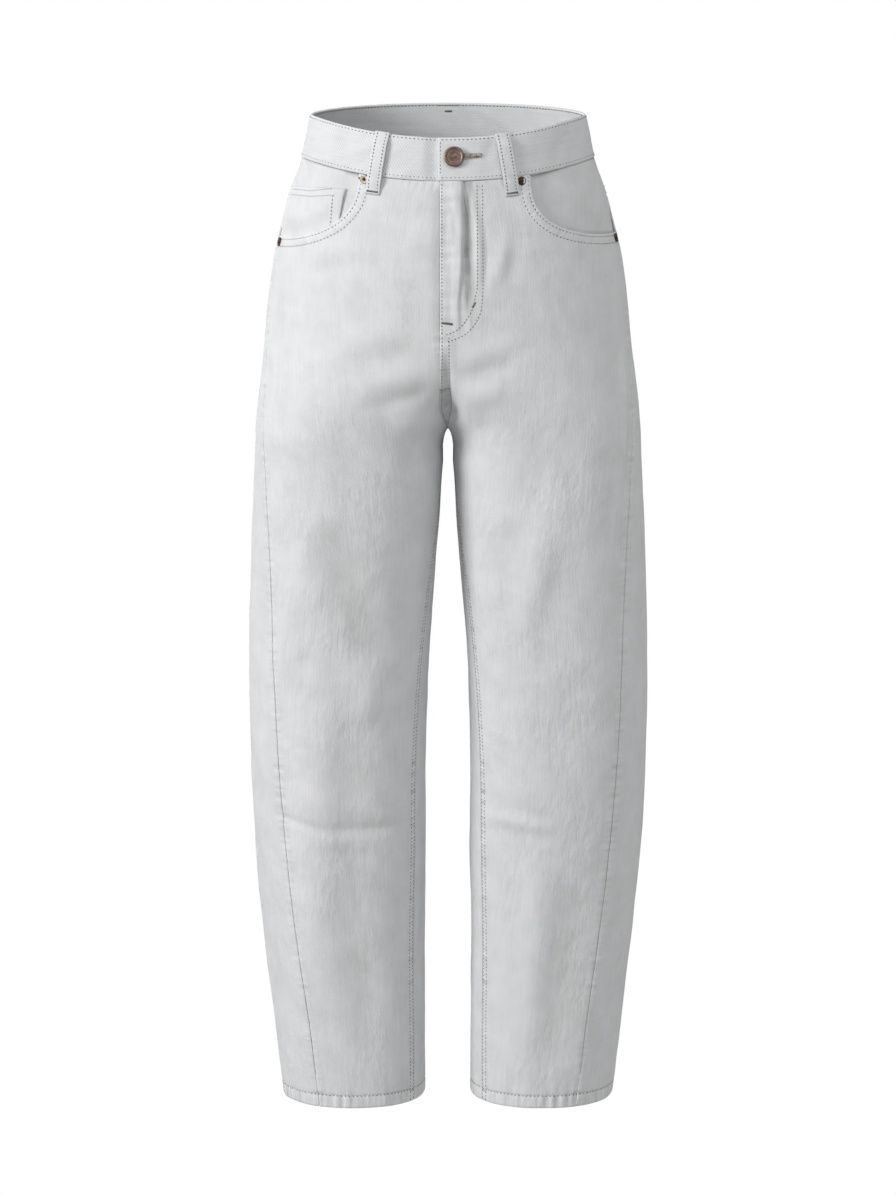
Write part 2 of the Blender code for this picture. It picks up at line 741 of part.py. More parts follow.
def build():
    pieces, cutters = fresh_scene()
    denim = material("pale_denim", PALE_DENIM)
    band_denim = material("band_denim", BAND_DENIM)
    button_metal = material("brown_brass", BROWN_BRASS, 0.45, 0.8)
    rivet_metal = material("old_brass", OLD_BRASS, 0.4, 0.9)
    tape = material("zip_tape", ZIP_GREY)

    for side, hand in ((1, "left"), (-1, "right")):
        front_panel(side, f"front_{hand}", denim, pieces)
        back_panel(side, f"back_{hand}", denim, pieces)
        back_yoke(side, f"back_yoke_{hand}", denim, pieces)
        back_pocket(side, f"back_pocket_{hand}", denim, pieces)
        pocket_facing(side, f"pocket_facing_{hand}", denim, pieces)
        loop_top = FRONT_LOOP_TOP[side]
        belt_loop(side, loop_top, FRONT_LOOP_LEAN, f"belt_loop_front_{hand}", band_denim, pieces)
        name, loop_top = f"belt_loop_back_{hand}", BACK_LOOP_FROM_CENTRE
        belt_loop(side, loop_top, BACK_LOOP_LEAN, name, band_denim, pieces, from_back=True)
        front_level = BAND_SEAM - RIVET_RADIUS - SEAM_GAP
        front_reach = FRONT_RIVET_REACH[side]
        rivet(f"rivet_front_{hand}", side, front_reach, front_level, SEAM_GAP, rivet_metal, pieces)
        side_level = BAND_SEAM - POCKET_DEPTH[side] - RIVET_RADIUS - RIVET_BELOW_POCKET
        side_reach = ring_at(side_level).side_reach - SIDE_RIVET_FROM_SEAM
        rivet(f"rivet_side_{hand}", side, side_reach, side_level, SEAM_GAP, rivet_metal, pieces)
    coin_pocket(-1, "coin_pocket", denim, pieces)

    band = waistband("waistband", band_denim, pieces)
    cut_buttonhole(band, cutters)
    belt_loop(1, 0.0, 0.0, "belt_loop_back_centre", band_denim, pieces, from_back=True)

    zip_levels = np.linspace(BAND_SEAM - 3, FLY_END_LEVEL + 3, 6)
    behind_fly("zip", np.linspace(-20, 16, 5), zip_levels, -UNDER_LAYER, tape, pieces)
    shield_levels = np.linspace(BAND_SEAM - 3, FLY_END_LEVEL - 5, 6)
    shield_reaches = np.linspace(-FLY_WIDTH, 20, 7)
    behind_fly("fly_shield", shield_reaches, shield_levels, -2 * UNDER_LAYER, denim, pieces)
    waist_button(button_metal, pieces)


build()
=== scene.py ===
# %% [markdown]
# # Barrel leg trousers in pale denim
# The imported CAD model gives the true size and place of every piece of cloth. This notebook makes the same
# pieces again at a tailor's scale: folds, puckered seams, stitches and metal. First the frame is loaded, and each
# piece's place is baked into its mesh.

# %% Load the imported part
import math
from collections import namedtuple

import bpy
import numpy as np
from mathutils import Matrix, Vector


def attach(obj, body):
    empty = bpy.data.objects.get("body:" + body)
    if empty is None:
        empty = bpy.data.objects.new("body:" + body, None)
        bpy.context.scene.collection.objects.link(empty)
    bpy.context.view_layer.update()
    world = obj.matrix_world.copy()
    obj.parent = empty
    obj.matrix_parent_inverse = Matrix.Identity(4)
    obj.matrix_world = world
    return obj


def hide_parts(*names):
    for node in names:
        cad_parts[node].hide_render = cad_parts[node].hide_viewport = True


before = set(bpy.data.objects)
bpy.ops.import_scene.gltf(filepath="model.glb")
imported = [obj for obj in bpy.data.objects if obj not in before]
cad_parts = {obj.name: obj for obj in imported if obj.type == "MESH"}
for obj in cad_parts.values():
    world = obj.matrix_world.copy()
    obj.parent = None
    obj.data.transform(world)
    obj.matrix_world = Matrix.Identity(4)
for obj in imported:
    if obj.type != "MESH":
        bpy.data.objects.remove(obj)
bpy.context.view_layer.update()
MM = 0.001

# %% [markdown]
# ## The skin that all the cloth is cut from
# Worn trousers are two tubes that meet at the seat. Each level of a tube is a squarish oval, so a short table
# of ovals and a smooth curve through it give the whole bowed shape. The same table is in the part's source,
# so the fine cloth lies exactly on the coarse solids. Sizes are millimetres: level is the height below the
# band's top edge, and reach is the distance round from the front centre (lower down, from the inseam).

# %% The measured ovals
Section = namedtuple("Section", "level outer centre front back middle squareness")
SECTIONS = tuple(Section(*row) for row in (
    (10, 131, 0, 89, 86, 0, 2.12),
    (0, 134, 0, 91, 88, 0, 2.12),
    (-41, 143, 0, 98, 96, 0, 2.15),
    (-87, 158.5, 0, 104, 107, 0, 2.2),
    (-132, 169.5, 0, 107, 116, 0, 2.25),
    (-180, 176.5, 1, 108, 122, 0, 2.3),
    (-215, 180, 12, 107.5, 123, 0, 2.35),
    (-250, 184, 50, 105.5, 122, 0, 2.4),
    (-280, 187.5, 80, 103, 119.5, 1, 2.5),
    (-308, 190, 95.1, 100, 116, 2, 2.55),
    (-345, 192.3, 98.7, 96.5, 111, 3, 2.45),
    (-400, 195.5, 102, 92, 104.5, 4, 2.32),
    (-470, 198, 106, 87.5, 97, 6, 2.22),
    (-560, 199.6, 109.7, 83, 89, 8, 2.18),
    (-650, 198.4, 110.2, 79, 83, 9, 2.18),
    (-740, 194, 108, 75, 77, 10, 2.18),
    (-830, 186.5, 104.8, 71, 72, 10, 2.18),
    (-910, 177, 100, 69, 67, 9, 2.18),
    (-989, 168, 95.6, 70, 63, 7, 2.18),
))
Turn = namedtuple("Turn", "level degrees")
SIDE_SEAM = tuple(Turn(*row) for row in (
    (10, 4), (-41, 5), (-150, 8), (-220, 13), (-270, 22), (-340, 33), (-430, 42),
    (-540, 48), (-650, 52), (-740, 55), (-830, 59), (-910, 62), (-989, 64)))
INSEAM = tuple(Turn(*row) for row in ((-308, 0), (-380, 8), (-460, 18), (-600, 27), (-760, 31), (-989, 33)))
BAND_HEIGHT, SEAT_LEVEL, CROTCH_LEVEL, THIGH_LEVEL, HEM_LEVEL = 41.0, -204.0, -308.0, -440.0, -989.0
SEAM_GAP, CENTRE_GAP = 0.3, 0.2
BAND_SEAM = -BAND_HEIGHT - SEAM_GAP
FRONT_DIP, BACK_RISE, TIP_ENDS_LEVEL = 20.0, 9.0, -210.0
print(len(SECTIONS), "ovals from the waist to the hem")


# %% A smooth curve through a table
def rise(value, start, end):
    """0 before the start, 1 after the end, and smooth between them."""
    share = np.clip((np.asarray(value, float) - start) / (end - start), 0, 1)
    return share * share * (3 - 2 * share)


def arrays(*values):
    return np.broadcast_arrays(*(np.asarray(value, float) for value in values))


def walk(across, level):
    """How far along a path each of its points is."""
    return np.concatenate([[0], np.cumsum(np.hypot(np.diff(across), np.diff(level)))])


def bell(distance, width):
    """1 at a line, and fading out over about this width on both sides of it."""
    return np.exp(-((distance / width) ** 2))


def through_rows(rows, column, level):
    heights = np.array([-row.level for row in rows], float)
    values = np.array([getattr(row, column) for row in rows], float)
    slopes = np.gradient(values, heights)
    place = np.clip(-np.asarray(level, float), heights[0], heights[-1])
    i = np.clip(np.searchsorted(heights, place, side="right") - 1, 0, len(rows) - 2)
    span = heights[i + 1] - heights[i]
    t = (place - heights[i]) / span
    ends = (2 * t**3 - 3 * t**2 + 1) * values[i] + (3 * t**2 - 2 * t**3) * values[i + 1]
    return ends + (t**3 - 2 * t**2 + t) * span * slopes[i] + (t**3 - t**2) * span * slopes[i + 1]


print("half width at the knee:", round(float(through_rows(SECTIONS, "outer", -700)), 1), "mm")


# %% Points round each oval
def oval_points(angles, level):
    ring = {name: through_rows(SECTIONS, name, level) for name in Section._fields[1:]}
    power = 2 / ring["squareness"]
    across, along = np.cos(angles), np.sin(angles)
    depth = np.abs(along) ** power
    front = along > 0
    x = ring["centre"] + (ring["outer"] - ring["centre"]) * np.sign(across) * np.abs(across) ** power
    y = ring["middle"] + np.where(front, -ring["front"], ring["back"]) * depth
    tip = np.where(front, -FRONT_DIP * depth**2.2, BACK_RISE * depth**1.2)
    z = level + tip * rise(level, TIP_ENDS_LEVEL, -BAND_HEIGHT)
    return np.stack([x, y, z], axis=-1)


def oval_ends(level):
    """The angles where a half oval starts, at the front centre or inseam, and where it ends."""
    ring = {name: through_rows(SECTIONS, name, level) for name in ("outer", "centre", "squareness")}
    share = np.clip((CENTRE_GAP - ring["centre"]) / (ring["outer"] - ring["centre"]), -1, 1)
    above = np.arccos(np.sign(share) * np.abs(share) ** (ring["squareness"] / 2))
    inseam = math.pi - np.radians(through_rows(INSEAM, "degrees", level))
    below = level <= CROTCH_LEVEL
    return np.where(below, inseam, above), np.where(below, inseam - 2 * math.pi, -above)


# the levels lie closest together just above the crotch, where the ovals change fastest
STATIONS = np.concatenate([np.arange(top, bottom, -step) for top, bottom, step in (
    (14, -280, 2.0), (-280, -306, 0.5), (-306, -308, 0.1), (-308, -992, 3.0))])
print(len(STATIONS), "levels will be measured")


# %% Measure the skin once, as a table of places and normals
def measure_skin(samples=721, kept=901):
    level = STATIONS[:, None]
    start, end = oval_ends(level)
    angles = start + (end - start) * np.linspace(0, 1, samples)
    points = oval_points(angles, level)
    along = oval_points(angles - 0.004, level) - oval_points(angles + 0.004, level)
    down = oval_points(angles, level - 1) - oval_points(angles, level + 1)
    normals = np.cross(down, along)
    normals /= np.linalg.norm(normals, axis=-1, keepdims=True)
    steps = np.linalg.norm(np.diff(points, axis=1), axis=2)
    reach = np.concatenate([np.zeros((len(level), 1)), np.cumsum(steps, 1)], 1)
    seam_angle = np.radians(through_rows(SIDE_SEAM, "degrees", STATIONS))
    seam = np.array([np.interp(-a, -row, r) for a, row, r in zip(seam_angle, angles, reach)])
    both = np.concatenate([points, normals], axis=2)
    table = np.empty((len(level), kept, 6))
    for i in range(len(level)):
        even = np.linspace(0, reach[i, -1], kept)
        for k in range(6):
            table[i, :, k] = np.interp(even, reach[i], both[i, :, k])
    return table, reach[:, -1], seam


SKIN, TOTAL_REACH, SEAM_REACH = measure_skin()
print("round one leg at the hem:", round(TOTAL_REACH[-1] / 10, 1), "cm")


# %% Look a place up on the skin
def station_of(level):
    i = np.clip(np.searchsorted(-STATIONS, -level, side="right") - 1, 0, len(STATIONS) - 2)
    return i, np.clip((STATIONS[i] - level) / (STATIONS[i] - STATIONS[i + 1]), 0, 1)


def seam_reach(level):
    i, f = station_of(np.asarray(level, float))
    return SEAM_REACH[i] * (1 - f) + SEAM_REACH[i + 1] * f


def total_reach(level):
    i, f = station_of(np.asarray(level, float))
    return TOTAL_REACH[i] * (1 - f) + TOTAL_REACH[i + 1] * f


def seen_from(side, reach, level):
    """The same place named from its own side: a reach under 0 or past the end has crossed the centre."""
    total = total_reach(level)
    past = reach > total
    crossed = np.where((reach < 0) | past, -1, 1)
    return side * crossed, np.where(past, 2 * total - reach, np.abs(reach))


def bare_skin(side, reach, level):
    side, reach = seen_from(side, reach, level)
    i, f = station_of(level)
    seam, total = seam_reach(level), total_reach(level)
    placed = 0
    for k, weight in ((i, 1 - f), (i + 1, f)):
        before = reach / seam * SEAM_REACH[k]
        behind = SEAM_REACH[k] + (reach - seam) / (total - seam) * (TOTAL_REACH[k] - SEAM_REACH[k])
        column = np.clip(np.where(reach <= seam, before, behind) / TOTAL_REACH[k], 0, 1) * (SKIN.shape[1] - 1)
        left = np.minimum(column.astype(int), SKIN.shape[1] - 2)
        part = (column - left)[..., None]
        placed = placed + (SKIN[k, left] * (1 - part) + SKIN[k, left + 1] * part) * weight[..., None]
    point, normal = placed[..., :3].copy(), placed[..., 3:].copy()
    normal /= np.linalg.norm(normal, axis=-1, keepdims=True)
    point[..., 0] *= side
    normal[..., 0] *= side
    return point, normal


print("front centre of the band:", bare_skin(np.array(1), np.array(0.0), np.array(-20.0))[0].round(1))

# %% [markdown]
# ## Folds
# Cloth that hangs from a waist makes few, soft folds: a break above each knee, drag lines from the crotch, and
# long shallow troughs down the thighs. Cloth simulation could make folds, but not these ones in these places.
# Each fold is written down instead, as a line on the skin with a width and a height, and fades at both ends.

# %% Folds as lines on the skin
Crease = namedtuple("Crease", "side reach_a level_a reach_b level_b half_width height")
CREASES = tuple(Crease(*row) for row in (
    # right leg: the knee break, then the long soft ones
    (-1, 158, -688, 100, -702, 5, -1.7),
    (-1, 108, -703, 12, -702, 6, -1.5),
    (-1, 140, -670, 55, -686, 12, 1.1),
    (-1, 118, -716, 56, -716, 8, 0.7),
    (-1, 138, -400, 58, -545, 24, -4.5),
    (-1, 74, -520, 62, -590, 18, 3.1),
    (-1, 120, -560, 106, -880, 26, 3.9),
    (-1, 80, -600, 70, -860, 20, -3.0),
    (-1, 62, -820, 52, -940, 16, -2.4),
    (-1, 164, -380, 168, -560, 18, 2.1),
    # left leg
    (1, 2, -690, 92, -700, 7, 1.5),
    (1, 4, -703, 86, -714, 8, -1.5),
    (1, 30, -682, 100, -696, 13, -0.9),
    (1, 150, -350, 72, -512, 20, 3.2),
    (1, 78, -400, 50, -555, 18, -1.5),
    (1, 128, -430, 74, -560, 18, -2.6),
    (1, 120, -540, 88, -640, 22, -2.0),
    (1, 74, -740, 52, -940, 20, 3.5),
    (1, 102, -765, 78, -945, 22, -3.9),
    (1, 188, -245, 178, -440, 6, 1.4),
    (1, 198, -240, 190, -430, 6, -1.4),
    # drag lines from the crotch and the seat
    (-1, 100, -236, 32, -225, 12, -2.7),
    (-1, 104, -212, 40, -203, 12, 1.4),
    (-1, 82, -258, 24, -244, 10, 1.8),
    (-1, 76, -277, 12, -262, 9, -2.4),
    (-1, 74, -300, 14, -290, 12, 2.1),
    (-1, 62, -330, 16, -318, 10, -1.7),
    (1, 10, -248, 66, -236, 10, -2.5),
    (1, 12, -226, 74, -212, 12, 1.3),
    (1, 12, -272, 56, -262, 12, 2.4),
    (1, 14, -300, 70, -302, 12, -1.8),
    (1, 18, -326, 66, -340, 12, 1.7),
    # the fly and the hips
    (1, 15, -58, 19, -126, 4.5, -2.5),
    (1, 19, -112, 24, -176, 4.5, -1.9),
    (1, 7, -70, 9, -170, 4.5, 1.3),
    (1, 24, -56, 26, -150, 4.0, 1.5),
    (1, 30, -70, 33, -168, 3.5, -1.5),
    (1, 55, -102, 45, -156, 7, 2.1),
    (1, 66, -96, 58, -150, 9, -1.3),
    (-1, 144, -147, 84, -134, 10, -1.3),
    (-1, 140, -128, 88, -118, 10, 0.8),
    (-1, 20, -150, 26, -215, 16, -1.3),
    # behind, counted on from the side seam
    (-1, 330, -332, 440, -354, 16, -1.9),
    (1, 322, -338, 430, -350, 16, -2.4),
    (-1, 326, -302, 430, -324, 14, 1.4),
    (1, 320, -306, 420, -320, 14, 1.6),
    (-1, 325, -374, 410, -398, 15, 1.3),
    (1, 318, -378, 408, -392, 15, 1.5),
    (-1, 262, -652, 380, -676, 12, 1.9),
    (-1, 268, -684, 390, -700, 12, -2.0),
    (1, 256, -664, 380, -684, 12, 2.1),
    (1, 262, -694, 390, -708, 12, -2.2),
    (-1, 330, -430, 350, -620, 24, -3.5),
    (1, 326, -440, 350, -630, 24, -3.5),
    (-1, 300, -740, 320, -930, 22, -3.1),
    (1, 300, -740, 320, -930, 22, -3.1),
    # the band, bent a little by the loops and the button
    (-1, 112, -6, 98, -32, 6, -0.9),
    (-1, 150, -4, 132, -30, 8, 0.8),
    (-1, 188, -10, 172, -38, 7, -0.8),
    (1, 44, -4, 34, -24, 5, -0.9),
    (1, 66, -14, 96, -32, 6, -0.8),
    (1, 124, -4, 104, -30, 7, -1.1),
    (1, 138, -8, 122, -34, 6, 0.8),
))
print(len(CREASES), "folds, the tallest", max(abs(c.height) for c in CREASES), "mm")


# %% Random hills, the same on every run
def hills(x, y, size_x, size_y, seed):
    """Smooth bumps between -1 and 1, of about this size in mm."""
    lattice = np.random.default_rng(seed).uniform(-1, 1, (97, 97))
    gx, gy = x / size_x + 40.5, y / size_y + 40.5
    ix, iy = np.floor(gx).astype(int), np.floor(gy).astype(int)
    fx, fy = rise(gx - ix, 0, 1), rise(gy - iy, 0, 1)
    upper = lattice[ix % 97, iy % 97] * (1 - fx) + lattice[(ix + 1) % 97, iy % 97] * fx
    lower = lattice[ix % 97, (iy + 1) % 97] * (1 - fx) + lattice[(ix + 1) % 97, (iy + 1) % 97] * fx
    return upper * (1 - fy) + lower * fy


def from_seam(reach, level):
    """Distance from the side seam, under 0 on the front. Unlike reach, it stays even past the crotch."""
    return reach - seam_reach(level)


def fold_relief(side, reach, level):
    height, across = np.zeros(np.shape(reach)), from_seam(reach, level)
    for c in CREASES:
        a = np.array([from_seam(c.reach_a, c.level_a), c.level_a], float)
        b = np.array([from_seam(c.reach_b, c.level_b), c.level_b], float)
        length = np.linalg.norm(b - a)
        unit = (b - a) / length
        dx, dy = across - a[0], level - a[1]
        along = (dx * unit[0] + dy * unit[1]) / length
        aside = (dx * unit[1] - dy * unit[0]) / c.half_width
        near = (side == c.side) & (np.abs(aside) < 3) & (np.abs(along - 0.5) < 1.2)
        height += np.where(near, c.height * np.exp(-aside**2 - 1.2 * (2 * along - 1) ** 4), 0)
    return height


print("a hill:", round(float(hills(np.array(12.0), np.array(-300.0), 60, 90, 1)), 2))


# %% [markdown]
# ## Puckered seams
# Thread is pulled tighter than cloth, so washed jeans pucker along every seam: ripples about 9 mm apart that
# die out within a centimetre. They are added to the same relief, with the seam's own distance as their fade.

# %% The whole relief of the skin
def pucker(distance, along, height, wave=9.0, width=6.0, seed=3):
    drift = 2.4 * hills(along, distance * 0, 31, 50, seed)
    uneven = 0.65 + 0.5 * hills(along, distance * 0, 17, 50, seed + 1)
    return height * uneven * np.sin(2 * math.pi * along / wave + drift) * bell(distance, width)


def even_width(level, front):
    """Width of the front or the back at a level, without the strip that swings in under the crotch."""
    seat, thigh, here = (np.where(front, seam_reach(at), total_reach(at) - seam_reach(at))
                         for at in (SEAT_LEVEL, THIGH_LEVEL, level))
    between = seat + (thigh - seat) * rise(level, SEAT_LEVEL, THIGH_LEVEL)
    return np.where((level < SEAT_LEVEL) & (level > THIGH_LEVEL), between, here)


def relief(side, reach, level):
    """How far the cloth stands off the plain skin, in mm."""
    side, reach = seen_from(side, reach, level)
    total, across = total_reach(level), from_seam(reach, level)
    from_end = np.minimum(reach, total - reach)
    leg = rise(level, CROTCH_LEVEL + 40, CROTCH_LEVEL - 20)
    left_over = even_width(level, across < 0) - np.abs(across)
    calm = rise(left_over, 0, 14) * (0.35 + 0.65 * rise(left_over, 6, 40))
    x = side * across
    height = fold_relief(side, reach, level) * calm
    below_band = rise(level, BAND_SEAM, BAND_SEAM - 25)
    soft = hills(x, level, 58, 110, 11) + 0.5 * hills(x, level, 21, 40, 12) + 0.2 * hills(x, level, 8, 16, 13)
    height += soft * calm * (0.2 + 0.8 * below_band)
    # the front sinks into a valley between the thighs, above the crotch
    valley = rise(level, -215, -255) * (1 - rise(level, -284, -300)) * (across < 0)
    left_over = np.maximum(left_over, 0)
    height -= valley * (3.5 * bell(left_over, 15) + 2.5 * bell(left_over, 6))
    height += pucker(np.abs(across), level, 0.26 * below_band, seed=3)
    height += pucker(from_end, level, 0.22 * leg, seed=5) * rise(from_end, 0, 1.5)
    height += pucker(np.abs(level - (HEM_LEVEL + 10)), x, 0.45, wave=9.5, width=8, seed=7)
    height -= 0.5 * bell(level - HEM_LEVEL - 12.5, 1.6)
    height += pucker(np.abs(level - (BAND_SEAM - 3)), x, 0.2, wave=8, width=8, seed=9)
    return height


def place(side, reach, level, out=0.0):
    """Points and normals of the creased skin, moved out from it, in mm."""
    side, reach, level, out = arrays(side, reach, level, out)
    point, normal = bare_skin(side, reach, level)
    return point + normal * (relief(side, reach, level) + out)[..., None], normal


print("relief at the knee:", relief(np.array(-1.0), np.array([100.0]), np.array([-703.0])).round(2), "mm")

# %% [markdown]
# ## Denim and its thread
# The cloth is cotton twill, bleached and washed until the blue is nearly gone. Up close it is a steep diagonal
# rib of pale warp over paler weft. From a step away only three things are left: upright streaks from thick and
# thin yarn, soft blotches from the wash, and lighter rubbed ridges with greyer troughs, the troughs being painted
# shade. All three are procedural textures on the cloth's own UV map, in metres, so the pattern follows the cut and
# keeps its real size. Painted shade also greys the fly's groove, the crotch seam and the inner thighs.

# %% Colours and one way to add a node
def colour(code):
    """A hex sRGB colour as the linear RGBA that the shaders expect."""
    parts = [int(code[i:i + 2], 16) / 255 for i in (1, 3, 5)]
    return (*[p / 12.92 if p <= 0.04045 else ((p + 0.055) / 1.055) ** 2.4 for p in parts], 1)


def feed(node, inputs):
    """Sets a node's inputs. Each is a plain value, or a node and its output, which are linked."""
    for name, value in inputs.items():
        if isinstance(value, tuple) and isinstance(value[0], bpy.types.Node):
            node.id_data.links.new(value[0].outputs[value[1]], node.inputs[name])
        else:
            node.inputs[name].default_value = value


def add_node(tree, kind, inputs, **settings):
    node = tree.nodes.new(kind)
    for name, value in settings.items():
        setattr(node, name, value)
    feed(node, inputs)
    return node


def new_material(name, **values):
    made = bpy.data.materials.new(name)
    made.use_nodes = True
    shader = made.node_tree.nodes["Principled BSDF"]
    feed(shader, {socket.replace("_", " "): value for socket, value in values.items()})
    return made, made.node_tree, shader


print("pale denim in linear light:", [round(v, 3) for v in colour("#CDD1D4")])


# %% The few kinds of node that these finishes need
def noise(tree, source, size, detail, roughness=0.5, dimensions="2D"):
    """Noise with lumps of this size in metres."""
    place_in = "W" if dimensions == "1D" else "Vector"
    inputs = {place_in: source, "Scale": 1 / size, "Detail": detail, "Roughness": roughness}
    return add_node(tree, "ShaderNodeTexNoise", inputs, noise_dimensions=dimensions), "Fac"


def mapped(tree, source, scale=(1, 1, 1), turn=0.0):
    return add_node(tree, "ShaderNodeMapping", {"Vector": source, "Scale": scale, "Rotation": (0, 0, turn)}), "Vector"


def times_plus(tree, value, factor, plus=0.0):
    return add_node(tree, "ShaderNodeMath", {0: value, 1: factor, 2: plus}, operation="MULTIPLY_ADD"), "Value"


def ranged(tree, source, before, after):
    inputs = {"Value": source, "From Min": before[0], "From Max": before[1], "To Min": after[0], "To Max": after[1]}
    return add_node(tree, "ShaderNodeMapRange", inputs), "Result"


def ramp(tree, source, *stops):
    made = add_node(tree, "ShaderNodeValToRGB", {"Fac": source})
    for element, (position, tone) in zip(made.color_ramp.elements, (stops[0], stops[-1])):
        element.position, element.color = position, colour(tone)
    for position, tone in stops[1:-1]:
        made.color_ramp.elements.new(position).color = colour(tone)
    return made, "Color"


def bumps(tree, height, strength, distance):
    return add_node(tree, "ShaderNodeBump", {"Height": height, "Strength": strength, "Distance": distance}), "Normal"


print("nodes can be added")


# %% Washed denim
def denim(name, pale, mid, deep, grain_turn=0.0, shade_and_roping_grey="#8E9192"):
    """Washed cotton twill: its tones, from a pale ridge down to a grey used for painted shade and roping, and how far
    its yarn turns from upright.
    """
    made, tree, shader = new_material(name, Roughness=0.88, Sheen_Weight=0.18, Sheen_Roughness=0.55,
                                      Specular_IOR_Level=0.25)
    uv = add_node(tree, "ShaderNodeUVMap", {}, uv_map="cloth"), "UV"
    cut = mapped(tree, uv, turn=grain_turn)
    wear, doubled, walked = ((add_node(tree, "ShaderNodeAttribute", {}, attribute_name=kept), "Fac")
                             for kept in ("wear", "doubled", "walked"))
    # thick and thin yarn, 1.6 mm across and 55 mm long, then the wash's blotches, 26 mm, and the rubbing of edges
    # together with painted shade
    yarn = noise(tree, mapped(tree, cut, scale=(1 / 0.0016, 1 / 0.055, 1)), 1.0, 2.0, 0.6)
    streaked = times_plus(tree, yarn, 0.24, -0.12)
    washed = times_plus(tree, noise(tree, cut, 0.026, 5.0, 0.62), 0.4, streaked)
    washed_worn_and_shaded = times_plus(tree, wear, 0.6, washed)
    # doubled cloth along a seam dries in ripples 6 mm apart, and is greyer between them
    ripple = times_plus(tree, noise(tree, walked, 0.0058, 1.0, dimensions="1D"), doubled)
    roped = times_plus(tree, ripple, 0.9, washed_worn_and_shaded)
    roped_worn_and_shaded = times_plus(tree, doubled, -0.46, roped)
    # the darkest stop is painted shade in grooves, along the crotch seam and between the thighs, and also the grey of
    # the roping
    tone = ramp(tree, roped_worn_and_shaded, (0.0, shade_and_roping_grey), (0.22, deep), (0.5, mid), (0.78, pale))
    # the twill rib: real ribs are 0.7 mm apart, too fine to show at this distance, so they are drawn at 1.3 mm
    slanted = mapped(tree, cut, turn=math.radians(27))
    ribs = {"Vector": slanted, "Scale": 0.314 / 0.0013, "Distortion": 1.4, "Detail": 2.0, "Detail Scale": 1.6}
    rib = add_node(tree, "ShaderNodeTexWave", ribs, wave_type="BANDS", bands_direction="X")
    mix = {"A": tone, "B": (rib, "Color"), "Factor": 0.15}
    ribbed = add_node(tree, "ShaderNodeMix", mix, data_type="RGBA", blend_type="MULTIPLY")
    lumps = times_plus(tree, yarn, 0.8, noise(tree, cut, 0.0022, 3.0, 0.7))
    woven = times_plus(tree, (rib, "Fac"), 0.45, lumps)
    # crumples left by the wash, 6 mm across and 14 mm long, in patches. The UV map counts down from the waist,
    # and the legs crumple more than the hips
    crease = noise(tree, mapped(tree, cut, scale=(1 / 0.006, 1 / 0.014, 1)), 1.0, 2.5)
    patch = ranged(tree, noise(tree, cut, 0.07, 2.0, 0.55), (0.44, 0.6), (0.3, 1.35))
    up = add_node(tree, "ShaderNodeSeparateXYZ", {"Vector": uv}), "Y"
    on_leg = ranged(tree, up, (-0.36, -0.22), (1.0, 0.35))
    crumple = times_plus(tree, crease, times_plus(tree, patch, on_leg))
    height = times_plus(tree, woven, 0.26, times_plus(tree, ripple, 1.4, crumple))
    feed(shader, {"Base Color": (ribbed, "Result"), "Normal": bumps(tree, height, 0.8, 0.0009)})
    return made


PALE_DENIM = denim("washed_cotton_twill", "#EAEAEC", "#DCDDDE", "#CACBCB")
BAND_DENIM = denim("washed_cotton_twill_across", "#E8E9EA", "#DBDCDD", "#C9CACA", math.pi / 2)
print("made", PALE_DENIM.name, "and", BAND_DENIM.name)


# %% Thread, tape and metal
def thread(name, pale, deep):
    """Polyester thread: smooth, a little glossy, its shade drifting along the row."""
    made, tree, shader = new_material(name, Roughness=0.55, Sheen_Weight=0.1)
    where = add_node(tree, "ShaderNodeTexCoord", {}), "Object"
    tone = ramp(tree, noise(tree, where, 0.012, 2.0, dimensions="3D"), (0.35, deep), (0.65, pale))
    ply = noise(tree, where, 0.0004, 1.0, dimensions="3D")
    feed(shader, {"Base Color": tone, "Normal": bumps(tree, ply, 0.5, 0.0001)})
    return made


def aged_metal(name, bright, dark, roughness, spot=0.0022):
    """Plated metal whose plating has dulled: bright where it is polished, dark where it isn't."""
    made, tree, shader = new_material(name, Metallic=1.0, Roughness=roughness)
    where = add_node(tree, "ShaderNodeTexCoord", {}), "Object"
    stain = noise(tree, where, spot, 4.0, 0.6, dimensions="3D")
    dull = ranged(tree, stain, (0.0, 1.0), (roughness + 0.15, roughness - 0.06))
    feed(shader, {"Base Color": ramp(tree, stain, (0.36, dark), (0.66, bright)), "Roughness": dull,
                  "Normal": bumps(tree, stain, 0.3, 0.0001)})
    return made


GREY_THREAD = thread("pale_polyester_thread", "#75797B", "#505355")
# a darker copy of the grey thread for the rows along edges; its extra darkness is painted shade
SHADED_THREAD = thread("grey_thread_darkened_as_shade", "#63676A", "#43474A")
BROWN_THREAD = thread("brown_polyester_thread", "#83736B", "#5C504B")
BEIGE_THREAD = thread("beige_polyester_thread", "#C6B7AD", "#9D8E85")
COPPER = aged_metal("antique_copper_plate", "#948076", "#695851", 0.45, 0.009)
BRASS = aged_metal("worn_brass_plate", "#BDB3A2", "#827868", 0.5)
BRONZE = aged_metal("dark_bronze_plate", "#6B5348", "#3A2C27", 0.45)
TAPE = denim("woven_polyester_tape", "#C9CCCE", "#BCC0C2", "#AAAEB0")
TOOTH = aged_metal("grey_zinc_teeth", "#A4A6A6", "#77797A", 0.4)
print("threads and metals are ready")


